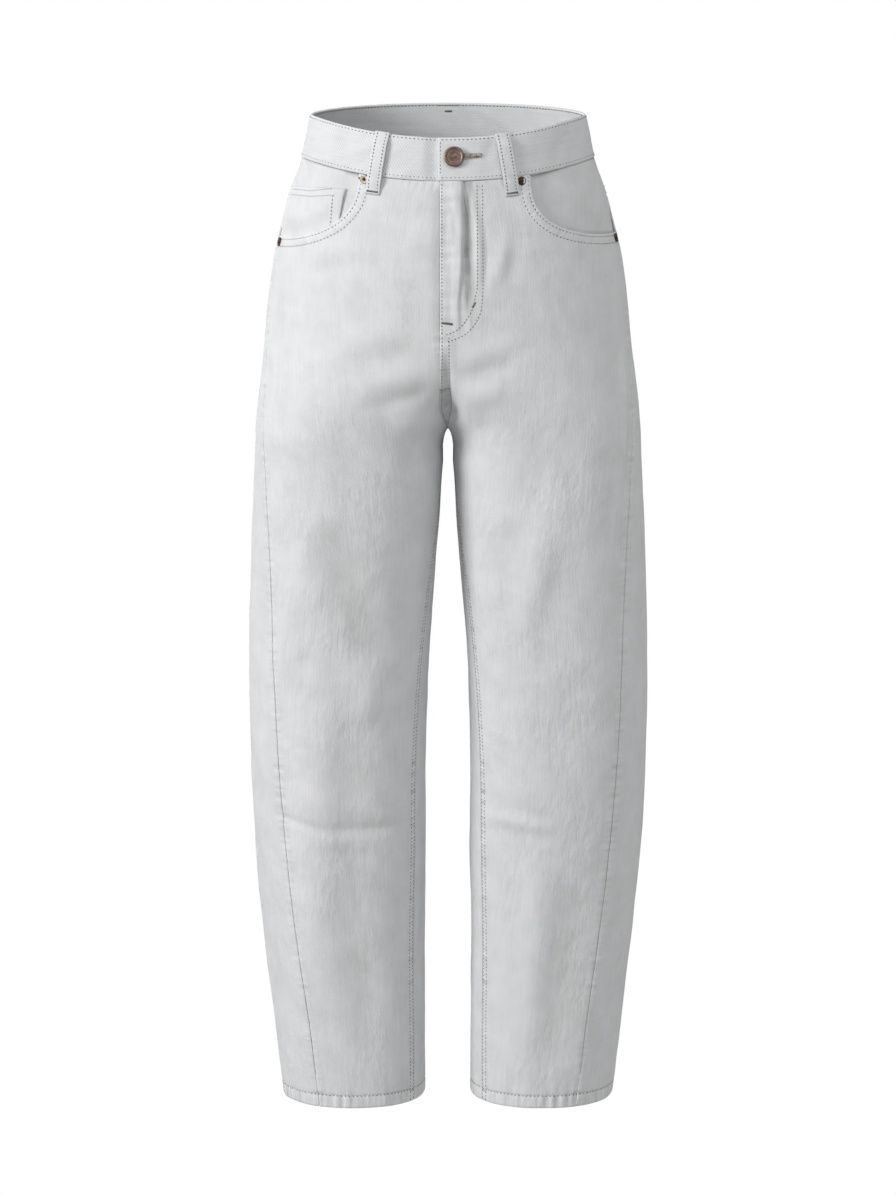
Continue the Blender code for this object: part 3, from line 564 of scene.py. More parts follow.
# %% [markdown]
# ## From a grid of places to a piece of cloth
# A pattern piece is a sheet, so it starts as a grid of places on the skin. Solidify then gives the sheet its
# thickness inwards, as the CAD does. The UV map is the cut itself, laid flat. One attribute holds how far each
# point stands proud, because hands and seats rub the ridges pale first, and it also carries painted shade: greyer
# fold troughs, the fly's groove, the crotch seam, the right front's centre edge and the inner thighs. Two more say
# where the cloth is sewn double and how far along that strip a point lies, which is where the ripples beside the seams
# go.

# %% Making cloth
def select_only(thing):
    for other in list(bpy.context.selected_objects):
        other.select_set(False)
    thing.select_set(True)
    bpy.context.view_layer.objects.active = thing


def finish_piece(piece, nodes):
    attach(piece, "root")
    if nodes:
        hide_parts(*nodes)
    return piece


def mesh_object(name, points, faces, material=None, edges=()):
    mesh = bpy.data.meshes.new(name)
    mesh.from_pydata(points, edges, faces)
    if material:
        mesh.materials.append(material)
    piece = bpy.data.objects.new(name, mesh)
    bpy.context.scene.collection.objects.link(piece)
    return piece


def grid_faces(rows, columns, turned):
    corner = np.arange(rows * columns).reshape(rows, columns)
    a, b, c, d = corner[:-1, :-1], corner[:-1, 1:], corner[1:, 1:], corner[1:, :-1]
    order = (a, b, c, d) if turned else (a, d, c, b)
    return np.stack([part.ravel() for part in order], axis=1)


print("two rows of three points make", len(grid_faces(2, 3, False)), "faces")


# %% A piece of cloth from its grid
def keep_values(mesh, **values):
    """Keeps a value for each point of the mesh, for its material to read."""
    for name, grid in values.items():
        mesh.attributes.new(name, "FLOAT", "POINT").data.foreach_set("value", grid.astype(np.float32).ravel())


def cloth(node, side, reach, level, out, wall, material=PALE_DENIM, wear=0.0, grain=None, strips=()):
    """The cloth of one CAD node, from a grid of places listed from the front round to the back and downwards.

    strips lists its doubled edges, each as a weight and the distance along it, at every point."""
    side, reach, level, out, wall, wear = arrays(side, reach, level, out, wall, wear)
    points, _ = place(side, reach, level, out)
    rows, columns = reach.shape
    faces = grid_faces(rows, columns, side[0, 0] < 0).tolist()
    piece = mesh_object(f"{node}_cloth", (points.reshape(-1, 3) * MM).tolist(), faces, material)
    mesh = piece.data
    flat = np.stack([side * (reach if grain is None else grain), level], axis=-1).reshape(-1, 2) * MM
    corners = np.empty(len(mesh.loops), np.int32)
    mesh.loops.foreach_get("vertex_index", corners)
    mesh.uv_layers.new(name="cloth").uv.foreach_set("vector", flat[corners].astype(np.float32).ravel())
    # fold ridges come out paler, as rubbed cloth does, and fold troughs greyer, which is painted shade; the values
    # passed in add rubbed edges and more painted shade
    proud = 0.5 + 0.05 * fold_relief(*seen_from(side, reach, level), level) + wear
    doubled, walked = np.zeros(reach.shape), level.copy()
    for weight, along in strips:
        weight, along = np.broadcast_arrays(weight + 0 * reach, along + 0 * reach)
        walked = np.where(weight > doubled, along, walked)
        doubled = np.maximum(doubled, weight)
    keep_values(mesh, wear=np.clip(proud, -0.5, 1), doubled=doubled, walked=walked * MM)
    select_only(piece)
    bpy.ops.object.shade_smooth()
    walls = piece.vertex_groups.new(name="wall")
    for thickness in np.unique(wall):
        walls.add(np.flatnonzero(wall == thickness).tolist(), thickness / wall.max(), "REPLACE")
    bpy.ops.object.modifier_add(type="SOLIDIFY")
    solid = piece.modifiers[-1]
    solid.offset, solid.thickness, solid.vertex_group = -1, wall.max() * MM, "wall"
    bpy.ops.object.modifier_apply(modifier=solid.name)
    across, down = (np.linalg.norm(np.diff(points, axis=axis), axis=-1).sum(axis=axis).max() for axis in (1, 0))
    across, down = round(float(across) * MM, 3), round(float(down) * MM, 3)
    return finish_piece(piece, (node,))


print("cloth can be made")

# %% [markdown]
# ## Stitches
# A row of topstitching is one capsule of thread, over and over. Its holes are 3.5 to 4 mm apart, a little more than
# in life, so that each stitch still shows at this distance. One capsule is modelled from a cylinder with narrowed
# ends, and its points are then set down again and again along a path. Each row sinks a little into the cloth.

# %% One stitch, modelled once
bpy.ops.object.select_all(action="DESELECT")
bpy.ops.mesh.primitive_cylinder_add(vertices=6, radius=0.5, depth=0.62, end_fill_type="NGON")
capsule = bpy.context.object
bpy.ops.object.mode_set(mode="EDIT")
bpy.ops.mesh.select_all(action="DESELECT")
bpy.ops.object.mode_set(mode="OBJECT")
for face in capsule.data.polygons:
    face.select = abs(face.normal.z) > 0.9
bpy.ops.object.mode_set(mode="EDIT")
bpy.ops.mesh.extrude_region_shrink_fatten(TRANSFORM_OT_shrink_fatten={"value": 0.19})
bpy.ops.transform.resize(value=(0.45, 0.45, 1.0))
bpy.ops.object.mode_set(mode="OBJECT")
STITCH_POINTS = np.array([v.co for v in capsule.data.vertices])
STITCH_FACES = [list(p.vertices) for p in capsule.data.polygons]
bpy.data.objects.remove(capsule)
print("a stitch has", len(STITCH_FACES), "faces, and is", np.ptp(STITCH_POINTS[:, 2]).round(2), "long")


# %% Setting stitches down along a path
ROWS = {}


def sew(batch, centres, along, up, length=1.8, width=0.95):
    """Adds stitches to a named batch: their centres, directions and normals."""
    along = along / np.linalg.norm(along, axis=1, keepdims=True)
    aside = np.cross(up, along)
    aside /= np.linalg.norm(aside, axis=1, keepdims=True)
    up = np.cross(along, aside)
    local = STITCH_POINTS * (width, width * 0.6, length)
    points = (centres[:, None] + local[None, :, 0, None] * aside[:, None] + local[None, :, 1, None] * up[:, None]
              + local[None, :, 2, None] * along[:, None])
    ROWS.setdefault(batch, []).append(points)


def along_path(side, reach, level, out, pitch):
    """Evenly spaced points, directions and normals along a path of places."""
    side, reach, level, out = arrays(side, reach, level, out)
    steps = walk(side * reach, level)
    fine = np.linspace(0, steps[-1], max(4, int(steps[-1])))
    crossing = np.interp(fine, steps, side * reach)
    if np.all(side == side[0]):
        fine_side, fine_reach = side[0], crossing * side[0]
    else:
        fine_side, fine_reach = np.where(crossing < 0, -1.0, 1.0), np.abs(crossing)
    points, normals = place(fine_side, fine_reach, np.interp(fine, steps, level), np.interp(fine, steps, out))
    walked = np.concatenate([[0], np.cumsum(np.linalg.norm(np.diff(points, axis=0), axis=1))])
    marks = np.arange(pitch / 2, walked[-1], pitch)
    spots, ahead, behind, up = (np.stack([np.interp(marks + shift, walked, rows[:, k]) for k in range(3)], 1)
                                for shift, rows in ((0, points), (0.8, points), (-0.8, points), (0, normals)))
    return spots, ahead - behind, up


print("paths can be walked")


# %% Rows, bartacks and their thread
def stitch_row(batch, side, reach, level, out, pitch, inside=False):
    spots, along, up = along_path(side, reach, level, out, pitch)
    keep = np.linalg.norm(along, axis=1) > 1e-6
    sew(batch, spots[keep], along[keep], -up[keep] if inside else up[keep])


def bartack(batch, side, reach, level, out, length=9.0, width=2.4, turn=0.0, inside=False):
    """A short bar of close stitches. turn is 0 for a level bar and 90 for an upright one."""
    half = length / 2
    dx, dy = half * math.cos(math.radians(turn)), half * math.sin(math.radians(turn))
    reaches, levels = np.linspace(reach - dx, reach + dx, 12), np.linspace(level - dy, level + dy, 12)
    spots, along, up = along_path(np.full(12, float(side)), reaches, levels, out, 0.62)
    sew(batch, spots, np.cross(up, along), -up if inside else up, length=width, width=0.6)


def make_thread(batch, name, material):
    points = np.concatenate(ROWS.pop(batch)) * MM
    count = STITCH_POINTS.shape[0]
    faces = [[i + k * count for i in face] for k in range(len(points)) for face in STITCH_FACES]
    piece = mesh_object(name, points.reshape(-1, 3).tolist(), faces, material)
    select_only(piece)
    bpy.ops.object.shade_smooth()
    print(name, "has", len(points), "stitches")
    return finish_piece(piece, ())


print("stitching is ready")

# %% [markdown]
# ## The fronts
# A front is cut from the scooped pocket edge and the band seam down to the hem, with its grain along the middle
# of the leg. The pocket edge is folded double, so it stands a little proud. Every cut edge turns inwards where
# it meets its seam, and that soft roll is what makes two pieces read as sewn together.

# %% The lines of the cut
DENIM, BAND_CLOTH, LOOP_CLOTH, HEM_CLOTH, HEM_HEIGHT = 1.2, 2.6, 1.6, 2.6, 12.0
POCKET_START, POCKET_DEPTH, POCKET_CURVE = {1: 80.5, -1: 88.0}, {1: 72.0, -1: 76.0}, {1: 2.5, -1: 2.2}
FLY_REACH, FLY_END_LEVEL, FLY_LIFT = 6.0, -205.0, 1.3
JOINED_LEVEL = {"front": -150.0, "back": -168.0}
HALF_GAP = SEAM_GAP / 2
HANDS = {1: "left", -1: "right"}
LAP = 1.6


def fly_reach(side, level):
    return side * FLY_REACH * rise(level, CROTCH_LEVEL + 22, FLY_END_LEVEL)


def lap(side, level, front=False):
    """The left side of a centre seam folds over the right one. In front it stays as wide as the fly to the crotch."""
    wide = LAP + front * (FLY_REACH - fly_reach(1, level))
    return wide * (side > 0) * (1 - rise(level, CROTCH_LEVEL + 4, CROTCH_LEVEL + 0.3))


def lap_lift(side, from_centre, level):
    return 1.3 * (1 - rise(from_centre, 1.5, 10.0)) * (lap(side, level) / LAP)


def in_strip(distance, width):
    """1 inside a strip of doubled cloth of this width along an edge, fading outside it."""
    return 1 - rise(np.abs(distance), width - 1, width + 2)


def scoop_path(side, count=241):
    """The scooped pocket edge, from the side seam to the band."""
    share = 1 - (1 - np.linspace(0, 1, count)) ** 2.2
    level = BAND_SEAM - POCKET_DEPTH[side] * (1 - share ** POCKET_CURVE[side]) ** (1 / POCKET_CURVE[side])
    seam = seam_reach(level)
    return seam - share * (seam - POCKET_START[side]), level


def from_scoop(side, reach, level):
    """Distance from the scooped edge: over 0 on the front, under 0 inside the pocket's mouth."""
    curve, deep, seam = POCKET_CURVE[side], POCKET_DEPTH[side], seam_reach(level)
    across = np.maximum((seam - reach) / (seam - POCKET_START[side]), 1e-3)
    down = np.maximum((BAND_SEAM - level) / deep, 1e-3)
    nearness = (across**curve + down**curve) ** (1 / curve)
    slope = np.hypot(across ** (curve - 1) / (seam - POCKET_START[side]), down ** (curve - 1) / deep)
    return (nearness - 1) / (slope * nearness ** (1 - curve))


def beside(reach, level, distance):
    """The same path on the cut, moved sideways by a distance."""
    step_r, step_l = np.gradient(reach), np.gradient(level)
    length = np.hypot(step_r, step_l)
    return reach - step_l / length * distance, level + step_r / length * distance


print("the left pocket's edge is", round(walk(*scoop_path(1))[-1]), "mm long")


# %% The rows and columns of a leg's grid
def even_course(start, end_at, share, level):
    """The reach of a column: near the crotch only the last columns swing in under the body with the seam."""
    width = end_at(level) - start
    seat, thigh = (abs(end_at(at) - seam_reach(at)) for at in (SEAT_LEVEL, THIGH_LEVEL))
    between = np.copysign(seat + (thigh - seat) * rise(level, SEAT_LEVEL, THIGH_LEVEL), width)
    calm = np.where((level < SEAT_LEVEL) & (level > THIGH_LEVEL), between, width)
    return start + calm * share + (width - calm) * share**8


def with_edges(count, width, fine=0.0):
    """Even shares from 0 to 1, narrow at each end for the roll of the edge, and over a fine strip at the last one."""
    near = np.array([0, 0.5, 1.3]) / width
    inner = np.linspace(0, 1 - fine / width, count)[1:]
    close = 1 - np.arange(fine - 1.1, 1.4, -1.1) / width if fine else []
    return np.concatenate([near, inner if fine else inner[:-1], close, 1 - near[::-1]])


def leg_levels(joined, step):
    above = np.arange(joined, -230, -step)
    near = int(120 / step)
    crotch = CROTCH_LEVEL + (-230 - CROTCH_LEVEL) * (np.arange(near, -1, -1) / near) ** 1.6
    below = np.arange(CROTCH_LEVEL - step, HEM_LEVEL + HEM_HEIGHT + 1, -step)
    hem = HEM_LEVEL + np.array([12.6, 12, 9.5, 7, 4.5, 2.4, 1.3, 0.5, 0])
    return np.concatenate([above, crotch, below, hem])


def edge_roll(distance):
    return -0.5 * bell(distance, 0.8)


def inner_thigh_shade(from_inseam, level):
    """Painted shade where the thighs touch: greyer near the inseam, below the crotch, fading out by 430 mm below the
    band's top.
    """
    return 0.45 * (1 - rise(from_inseam, 3, 30)) * rise(level, -430, -330) * (level < CROTCH_LEVEL)


print("rows below the fly:", len(leg_levels(-150, 2.5)))


# %% Cutting the fronts
FRONT_COLUMNS, FRONT_STEP, BACK_COLUMNS, BACK_STEP = 70, 2.6, 84, 3.4


def centre_end(side, level):
    """The reach where a front ends at the centre front, or at the inseam below the crotch."""
    return HALF_GAP - fly_reach(side, level) - lap(side, level, front=True)


def front_places(side):
    scoop_reach, scoop_level = scoop_path(side)
    flat = np.linspace(POCKET_START[side], centre_end(side, BAND_SEAM), 60)[1:]
    top_reach, top_level = np.append(scoop_reach, flat), np.append(scoop_level, np.full(59, BAND_SEAM))
    walked = walk(top_reach, top_level)
    shares = with_edges(FRONT_COLUMNS, walked[-1], fine=38.0)
    top_reach, top_level = (np.interp(shares * walked[-1], walked, row) for row in (top_reach, top_level))
    seam = seam_reach(top_level)
    top_share = (seam - top_reach) / (seam - centre_end(side, top_level))
    down = np.concatenate([[0, 0.006, 0.014], np.linspace(0, 1, 62)[1:-1]])[:, None]
    joined = JOINED_LEVEL["front"]
    lower = leg_levels(joined, FRONT_STEP)
    share = np.concatenate([top_share + (shares - top_share) * down, np.tile(shares, (len(lower), 1))])
    level = np.concatenate([top_level + (joined - top_level) * down, np.tile(lower[:, None], len(shares))])
    start = seam_reach(level) - HALF_GAP
    reach, middle = (even_course(start, lambda at: centre_end(side, at), part, level) for part in (share, 0.5))
    return reach[:, ::-1], level[:, ::-1], (reach - middle)[:, ::-1]


print("a front has", front_places(1)[0].shape, "rows and columns")


# %% What stands proud on a front
def front_lift(side, reach, level):
    """What stands proud on a front: the doubled pocket edge and the lapped fly, less its rolled edges."""
    scoop = np.where(level > JOINED_LEVEL["front"], from_scoop(side, reach, level), 99.0)
    centre = reach - centre_end(side, level)
    lift = 0.45 * (1 - rise(scoop, 8.5, 12.0)) * rise(reach, 30, 60)
    lift += 1.4 * (1 - rise(scoop, 0, 30.0)) * rise(level, -118, -85) * (side > 0)
    for row in (2.8, 9.6):
        lift -= 0.35 * bell(scoop - row, 1.3)
    if side > 0:
        lapped = rise(level, FLY_END_LEVEL - 12, FLY_END_LEVEL + 10)
        # the flap bends down sharply along a wandering line, then climbs slowly back to its stitches
        bend = 14.0 + 1.8 * hills(reach * 0, level, 30, 26, 61) - 4.0 * rise(level, -130, -190)
        deep = rise(level, FLY_END_LEVEL, FLY_END_LEVEL + 50) * (1.0 + 0.5 * hills(reach * 0, level, 30, 19, 62))
        climb = 1.3 * rise(reach, -2, 9) * deep
        groove = 0.6 * deep * (1 - rise(reach, bend + 3, bend + 18))
        drop = rise(reach, bend - 2.0, bend + 2.0) * (FLY_LIFT + climb + groove)
        lift += np.maximum((FLY_LIFT + climb - drop) * lapped, lap_lift(side, reach, level))
        lift += 0.4 * lapped * hills(reach, level, 4.5, 26, 63) * (1 - rise(reach, 20, 30))
        pulled = 0.8 * rise(level, FLY_END_LEVEL - 10, FLY_END_LEVEL + 20)
        lift += pucker(centre, level, pulled, wave=15, width=14, seed=21)
    else:
        # the right front dips under the flap
        under_flap = rise(level, FLY_END_LEVEL - 50, FLY_END_LEVEL) * rise(BAND_SEAM - level, 4, 16)
        lift -= 1.7 * bell(centre, 7) * under_flap
    return lift + sum(map(edge_roll, (scoop, centre, seam_reach(level) - reach, BAND_SEAM - level, level - HEM_LEVEL)))


print("the fly stands", front_lift(1, np.array([5.0]), np.array([-120.0])).round(1), "mm proud")


# %% The two fronts
for side, hand in HANDS.items():
    reach, level, grain = front_places(side)
    wall = np.where(level > HEM_LEVEL + HEM_HEIGHT, DENIM, HEM_CLOTH)
    centre, scoop, above_hem = reach - centre_end(side, level), from_scoop(side, reach, level), level - HEM_LEVEL
    in_rise, in_scoop, lapping = level > CROTCH_LEVEL, level > JOINED_LEVEL["front"], side > 0
    # edges rub pale; the fly's groove, the crotch seam, the right front's centre edge under the lap and the inner
    # thighs are painted darker, as shade
    crotch_seam_shade = rise(level, FLY_END_LEVEL - 6, FLY_END_LEVEL - 50) * in_rise * lapping
    fly_groove_shade = lapping * rise(level, FLY_END_LEVEL, FLY_END_LEVEL + 40) * bell(reach - 18, 6)
    wear = 0.12 * bell(above_hem, 7) + 0.1 * bell(scoop, 4) * in_scoop
    wear = wear - 0.45 * crotch_seam_shade * (1 - rise(centre, 7.5, 10.5))
    wear = wear - 0.6 * fly_groove_shade - 0.6 * inner_thigh_shade(centre, level)
    # a painted shadow line along the right front's edge at the centre, above the crotch
    wear = wear - 0.75 * bell(centre, 2.2) * in_rise * (not lapping)
    down_centre = np.where(level < CROTCH_LEVEL, 1.0, 0.5 * (level < FLY_END_LEVEL))
    strips = [(in_strip(centre, 8) * down_centre, level), (in_strip(above_hem, 12.5), reach),
              (0.5 * in_strip(seam_reach(level) - reach, 6), level),
              (0.4 * in_strip(scoop, 10) * in_scoop, level - reach)]
    out = front_lift(side, reach, level)
    cloth(f"front_{hand}", side, reach, level, out, wall, wear=wear, grain=grain, strips=strips)

# %% [markdown]
# ## The pocket facing and the coin pocket
# The hip inside the scooped edge is a separate facing, sewn into the side seam and the band. On the right it
# carries the coin pocket. The facing lies flush at the hip and sinks behind the front, where the bag starts.

# %% Cutting the facings and the coin pocket
UNDER_LAYER = 2.1
FACING_SINK = {1: 4.4, -1: 2 * UNDER_LAYER}


def facing_out(side, reach, level):
    curve, depth = POCKET_CURVE[side], BAND_SEAM - level
    seam = seam_reach(level)
    share = np.maximum((seam - HALF_GAP - reach) / (seam - POCKET_START[side]), 0)
    nearness = (share**curve + np.maximum(depth / POCKET_DEPTH[side], 0) ** curve) ** (1 / curve)
    inside = (1 - nearness) * POCKET_DEPTH[side]
    sink = UNDER_LAYER + (FACING_SINK[side] - UNDER_LAYER) * rise(share, 0.02, 0.3)
    return -0.2 - (sink - 0.2) * (1 - rise(inside, 2.5, {1: 32.0, -1: 18.0}[side]))


def facing_places(side, share, depth):
    level = BAND_SEAM - depth
    seam = seam_reach(level)
    return seam - share * (seam - POCKET_START[side]) - HALF_GAP, level


for side, hand in HANDS.items():
    share, depth = np.meshgrid(np.linspace(1.09, 0, 52), np.linspace(0, POCKET_DEPTH[side] + 10, 42))
    reach, level = facing_places(side, share, depth)
    out = facing_out(side, reach, level) + edge_roll(BAND_SEAM - level) + edge_roll(seam_reach(level) - reach)
    cloth(f"pocket_facing_{hand}", side, reach, level, out, DENIM, wear=-0.08)


def coin_edge(down):
    return 0.86 - 0.045 * np.minimum(1.0, 2.5 * down)


down, along = np.meshgrid(np.linspace(0, 1, 30), np.linspace(0, 1, 46), indexing="ij")
share = coin_edge(down) + (0.04 - coin_edge(down)) * along
top = 29.5 - 15.0 * share
reach, level = facing_places(-1, share, top + (POCKET_DEPTH[-1] + 5 - top) * down)
from_top = down * (POCKET_DEPTH[-1] + 5 - top)
sewn = bell(along * 95, 3) + bell((along - 1) * 95, 3)
coin_out = facing_out(-1, reach, level) + UNDER_LAYER + 0.35 * (1 - rise(from_top, 9, 12))
coin_out = coin_out - 0.5 * sewn + edge_roll(from_top)
cloth("coin_pocket", -1, reach, level, coin_out, DENIM, wear=0.05 * np.exp(-from_top / 4))

# %% [markdown]
# ## The backs, the yokes and the patch pockets
# The photograph doesn't show the back, so it has only what a five-pocket cut must have: two backs, a V yoke
# that shapes the seat, and two plain patch pockets with no stitched design.

# %% Cutting the backs
YOKE_SIDE, YOKE_CENTRE = 36.0, 64.0


def yoke_depth(share):
    return YOKE_SIDE + (YOKE_CENTRE - YOKE_SIDE) * share


def back_lift(side, reach, level, top):
    end = total_reach(level) + lap(side, level)
    lift = lap_lift(side, total_reach(level) - reach, level)
    return lift + sum(map(edge_roll, (reach - seam_reach(level), end - reach, top - level, level - HEM_LEVEL)))


for side, hand in HANDS.items():
    shares = with_edges(BACK_COLUMNS, 230)
    tops = BAND_SEAM - yoke_depth(shares) - SEAM_GAP
    down = np.concatenate([[0, 0.007, 0.018], np.linspace(0, 1, 24)[1:-1]])[:, None]
    joined = JOINED_LEVEL["back"]
    lower = leg_levels(joined, BACK_STEP)
    level = np.concatenate([tops + (joined - tops) * down, np.tile(lower[:, None], len(shares))])
    start, end_at = seam_reach(level) + HALF_GAP, lambda at: total_reach(at) - HALF_GAP + lap(side, at)
    reach, middle = (even_course(start, end_at, part, level) for part in (shares, 0.5))
    wall = np.where(level > HEM_LEVEL + HEM_HEIGHT, DENIM, HEM_CLOTH)
    centre = total_reach(level) - reach
    strips = [(0.3 * in_strip(centre, 8) * (level > CROTCH_LEVEL), level), (in_strip(level - HEM_LEVEL, 12.5), reach),
              (0.5 * in_strip(reach - seam_reach(level), 6), level)]
    # the backs get painted shade between the thighs too, stronger than the fronts
    cloth(f"back_{hand}", side, reach, level, back_lift(side, reach, level, tops), wall, grain=reach - middle,
          wear=-1.3 * inner_thigh_shade(centre, level), strips=strips)

    downs = np.array([0, 0.01, 0.03, *np.linspace(0, 1, 22)[1:-1], 0.97, 0.99, 1])
    share, down = np.meshgrid(with_edges(70, 190), downs)
    level = BAND_SEAM - yoke_depth(share) * down
    begin, end = seam_reach(level) + HALF_GAP, end_at(level)
    reach = begin + (end - begin) * share
    above_seam = level - BAND_SEAM + yoke_depth(share)
    out = back_lift(side, reach, level, BAND_SEAM) + edge_roll(above_seam)
    strips = [(0.35 * in_strip(above_seam, 8), reach)]
    cloth(f"back_yoke_{hand}", side, reach, level, out, DENIM, strips=strips)

# %% Cutting the patch pockets
POCKET = {"width": 140.0, "length": 150.0, "point": 20.0, "taper": 0.09, "tilt": 6.0, "from_centre": 32.0}


def patch_places(across, down):
    """Places on a patch pocket: across runs from -1 to 1 round to the back centre, and down from 0 to 1."""
    top = BAND_SEAM - yoke_depth(0.6) - 14.0
    point = POCKET["point"] * (1 - np.abs(across)) * down
    level = top - POCKET["tilt"] * across - (POCKET["length"] - POCKET["point"]) * down - point
    half = POCKET["width"] / 2
    from_centre = POCKET["from_centre"] + half - half * across * (1 - POCKET["taper"] * down)
    return total_reach(level) - from_centre, level


for side, hand in HANDS.items():
    across, down = np.meshgrid(np.linspace(-1, 1, 58), np.linspace(0, 1, 58))
    reach, level = patch_places(across, down)
    from_sides, from_top, from_point = 70 * (1 - np.abs(across)), 150 * down, 140 * (1 - down)
    sewn = bell(from_sides, 3) + bell(from_point, 3)
    folded = 0.5 * (1 - rise(from_top, 13, 16))
    out = UNDER_LAYER - 0.5 * np.minimum(sewn, 1) + folded + edge_roll(from_top)
    wear = 0.14 * np.exp(-np.minimum(from_sides, from_point) / 3)
    cloth(f"back_pocket_{hand}", side, reach, level, out, DENIM, wear=wear)

# %% [markdown]
# ## The waistband and its loops
# The band is one strip folded double along its top edge, so both its edges are round. At the fly its left end
# laps over the right. Its buttonhole is a real cut: the outline is drawn flat, given depth, and subtracted.

# %% Cutting the waistband
BAND_LIFT, BAND_OVERLAP, BAND_UNDERLAP, UNDERLAP_DEPTH = 0.8, 9.5, 38.0, 2.9
BUTTON_REACH, BUTTON_DROP = 5.5, 18.5

middle = np.linspace(3.2, BAND_HEIGHT - 3.2, 15)
down = np.concatenate([[0, 0.4, 1.2], middle, BAND_HEIGHT - np.array([1.2, 0.4, 0])])[:, None]
level = -down
shares = np.concatenate([[0, 0.0012, 0.0035], np.linspace(0, 1, 170)[1:]])
left = -BAND_OVERLAP + (total_reach(level) + BAND_OVERLAP) * shares
right = total_reach(level) + (-BAND_UNDERLAP - total_reach(level)) * np.linspace(0, 1, 185)[1:]
reach = np.concatenate([left, right], axis=1)
band_side = np.concatenate([np.ones(left.shape[1]), -np.ones(right.shape[1])])[None, :]
sunk = (band_side < 0) * (1 - rise(reach, BAND_OVERLAP + 1.5, BAND_OVERLAP + 16))
out = BAND_LIFT - UNDERLAP_DEPTH * sunk + 1.3 * (edge_roll(down) + edge_roll(BAND_HEIGHT - down))
out = out + (band_side > 0) * edge_roll(reach + BAND_OVERLAP) + 0.25 * bell(down - 20, 9)
out = out + 0.5 * bell(BAND_HEIGHT - down, 6) - 0.3 * bell(BAND_HEIGHT - 3.8 - down, 1.2)
out = out + pucker(np.abs(down - 3), band_side * reach, 0.16, wave=7, width=5, seed=31)
along_band = band_side * np.where(band_side > 0, reach, 2 * total_reach(level) - reach)
band = cloth("waistband", band_side, reach, level, out, BAND_CLOTH, material=BAND_DENIM, grain=along_band,
             wear=0.16 * np.exp(-down / 3))

# %% Cutting the buttonhole
half, eye = 1.3, 3.2
ring = [(eye * math.cos(turn), eye * math.sin(turn)) for turn in np.linspace(math.pi / 2, 1.5 * math.pi, 17)]
ring += [(3.4, -half), (24.0, -half * 0.55), (24.6, 0.0), (24.0, half * 0.55), (3.4, half)]
spot, normal = place(1, BUTTON_REACH, -BUTTON_DROP, BAND_LIFT)
outwards = Vector(normal)
rightwards = (Vector((1, 0, 0.026)) - outwards * outwards.x).normalized()
upwards = outwards.cross(rightwards)
cutter_points = [Vector(spot) + rightwards * x + upwards * y + outwards * z for z in (-5, 3) for x, y in ring]
count = len(ring)
cutter_faces = [list(range(count))[::-1], list(range(count, 2 * count))]
cutter_faces += [[i, (i + 1) % count, (i + 1) % count + count, i + count] for i in range(count)]
cutter = mesh_object("buttonhole", [p * MM for p in cutter_points], cutter_faces)
select_only(band)
bpy.ops.object.modifier_add(type="BOOLEAN")
band.modifiers[-1].operation, band.modifiers[-1].object = "DIFFERENCE", cutter
bpy.ops.object.modifier_apply(modifier=band.modifiers[-1].name)
bpy.data.objects.remove(cutter)
print("the band has", len(band.data.polygons), "faces after the cut")

# %% Cutting the belt loops
LOOP_WIDTH, LOOP_LENGTH, LOOP_ROW = 14.0, 60.0, 4.4
Loop = namedtuple("Loop", "name side start lean top from_back")
LOOPS = (
    Loop("belt_loop_front_left", 1, 51.6, 10.5, 1.0, False),
    Loop("belt_loop_front_right", -1, 62.9, 10.5, 1.0, False),
    Loop("belt_loop_back_left", 1, 112.0, 3.0, -1.5, True),
    Loop("belt_loop_back_right", -1, 112.0, 3.0, -1.5, True),
    Loop("belt_loop_back_centre", 1, 0.0, 0.0, -1.5, True),
)


def loop_places(loop, across, down):
    """Places on a loop, where across is in mm from its middle and down runs from 0 to 1."""
    level = loop.top - LOOP_LENGTH * down
    round_to = loop.start + loop.lean * down
    reach = (total_reach(level) - round_to if loop.from_back else round_to) + across
    lifted = rise(down, 0.05, 0.22) * (1 - rise(down, 0.76, 0.95))
    on_band = BAND_LIFT * rise(level, BAND_SEAM - 1, BAND_SEAM + 3)
    return reach, level, on_band + LOOP_CLOTH + 0.75 + 2.4 * lifted


for loop in LOOPS:
    across, down = np.meshgrid([-7, -6.7, -6, -4.4, -2.6, -1, 1, 2.6, 4.4, 6, 6.7, 7], np.linspace(0, 1, 40))
    reach, level, out = loop_places(loop, across, down)
    ends, from_side = np.minimum(down, 1 - down) * LOOP_LENGTH, LOOP_WIDTH / 2 - np.abs(across)
    out = out + edge_roll(from_side) + edge_roll(ends) - 0.3 * bell(np.abs(across) - LOOP_ROW, 1.1)
    out = out + 0.16 * hills(across, level, 7, 9, 40 + int(abs(loop.start)))
    wear = 0.12 * np.exp(-from_side / 1.2)
    cloth(loop.name, loop.side, reach, level, out, LOOP_CLOTH, wear=wear)

# %% [markdown]
# ## Behind the fly
# The zip's tape and the fly shield can't be seen from outside, but they fill the gap behind the lapped front.

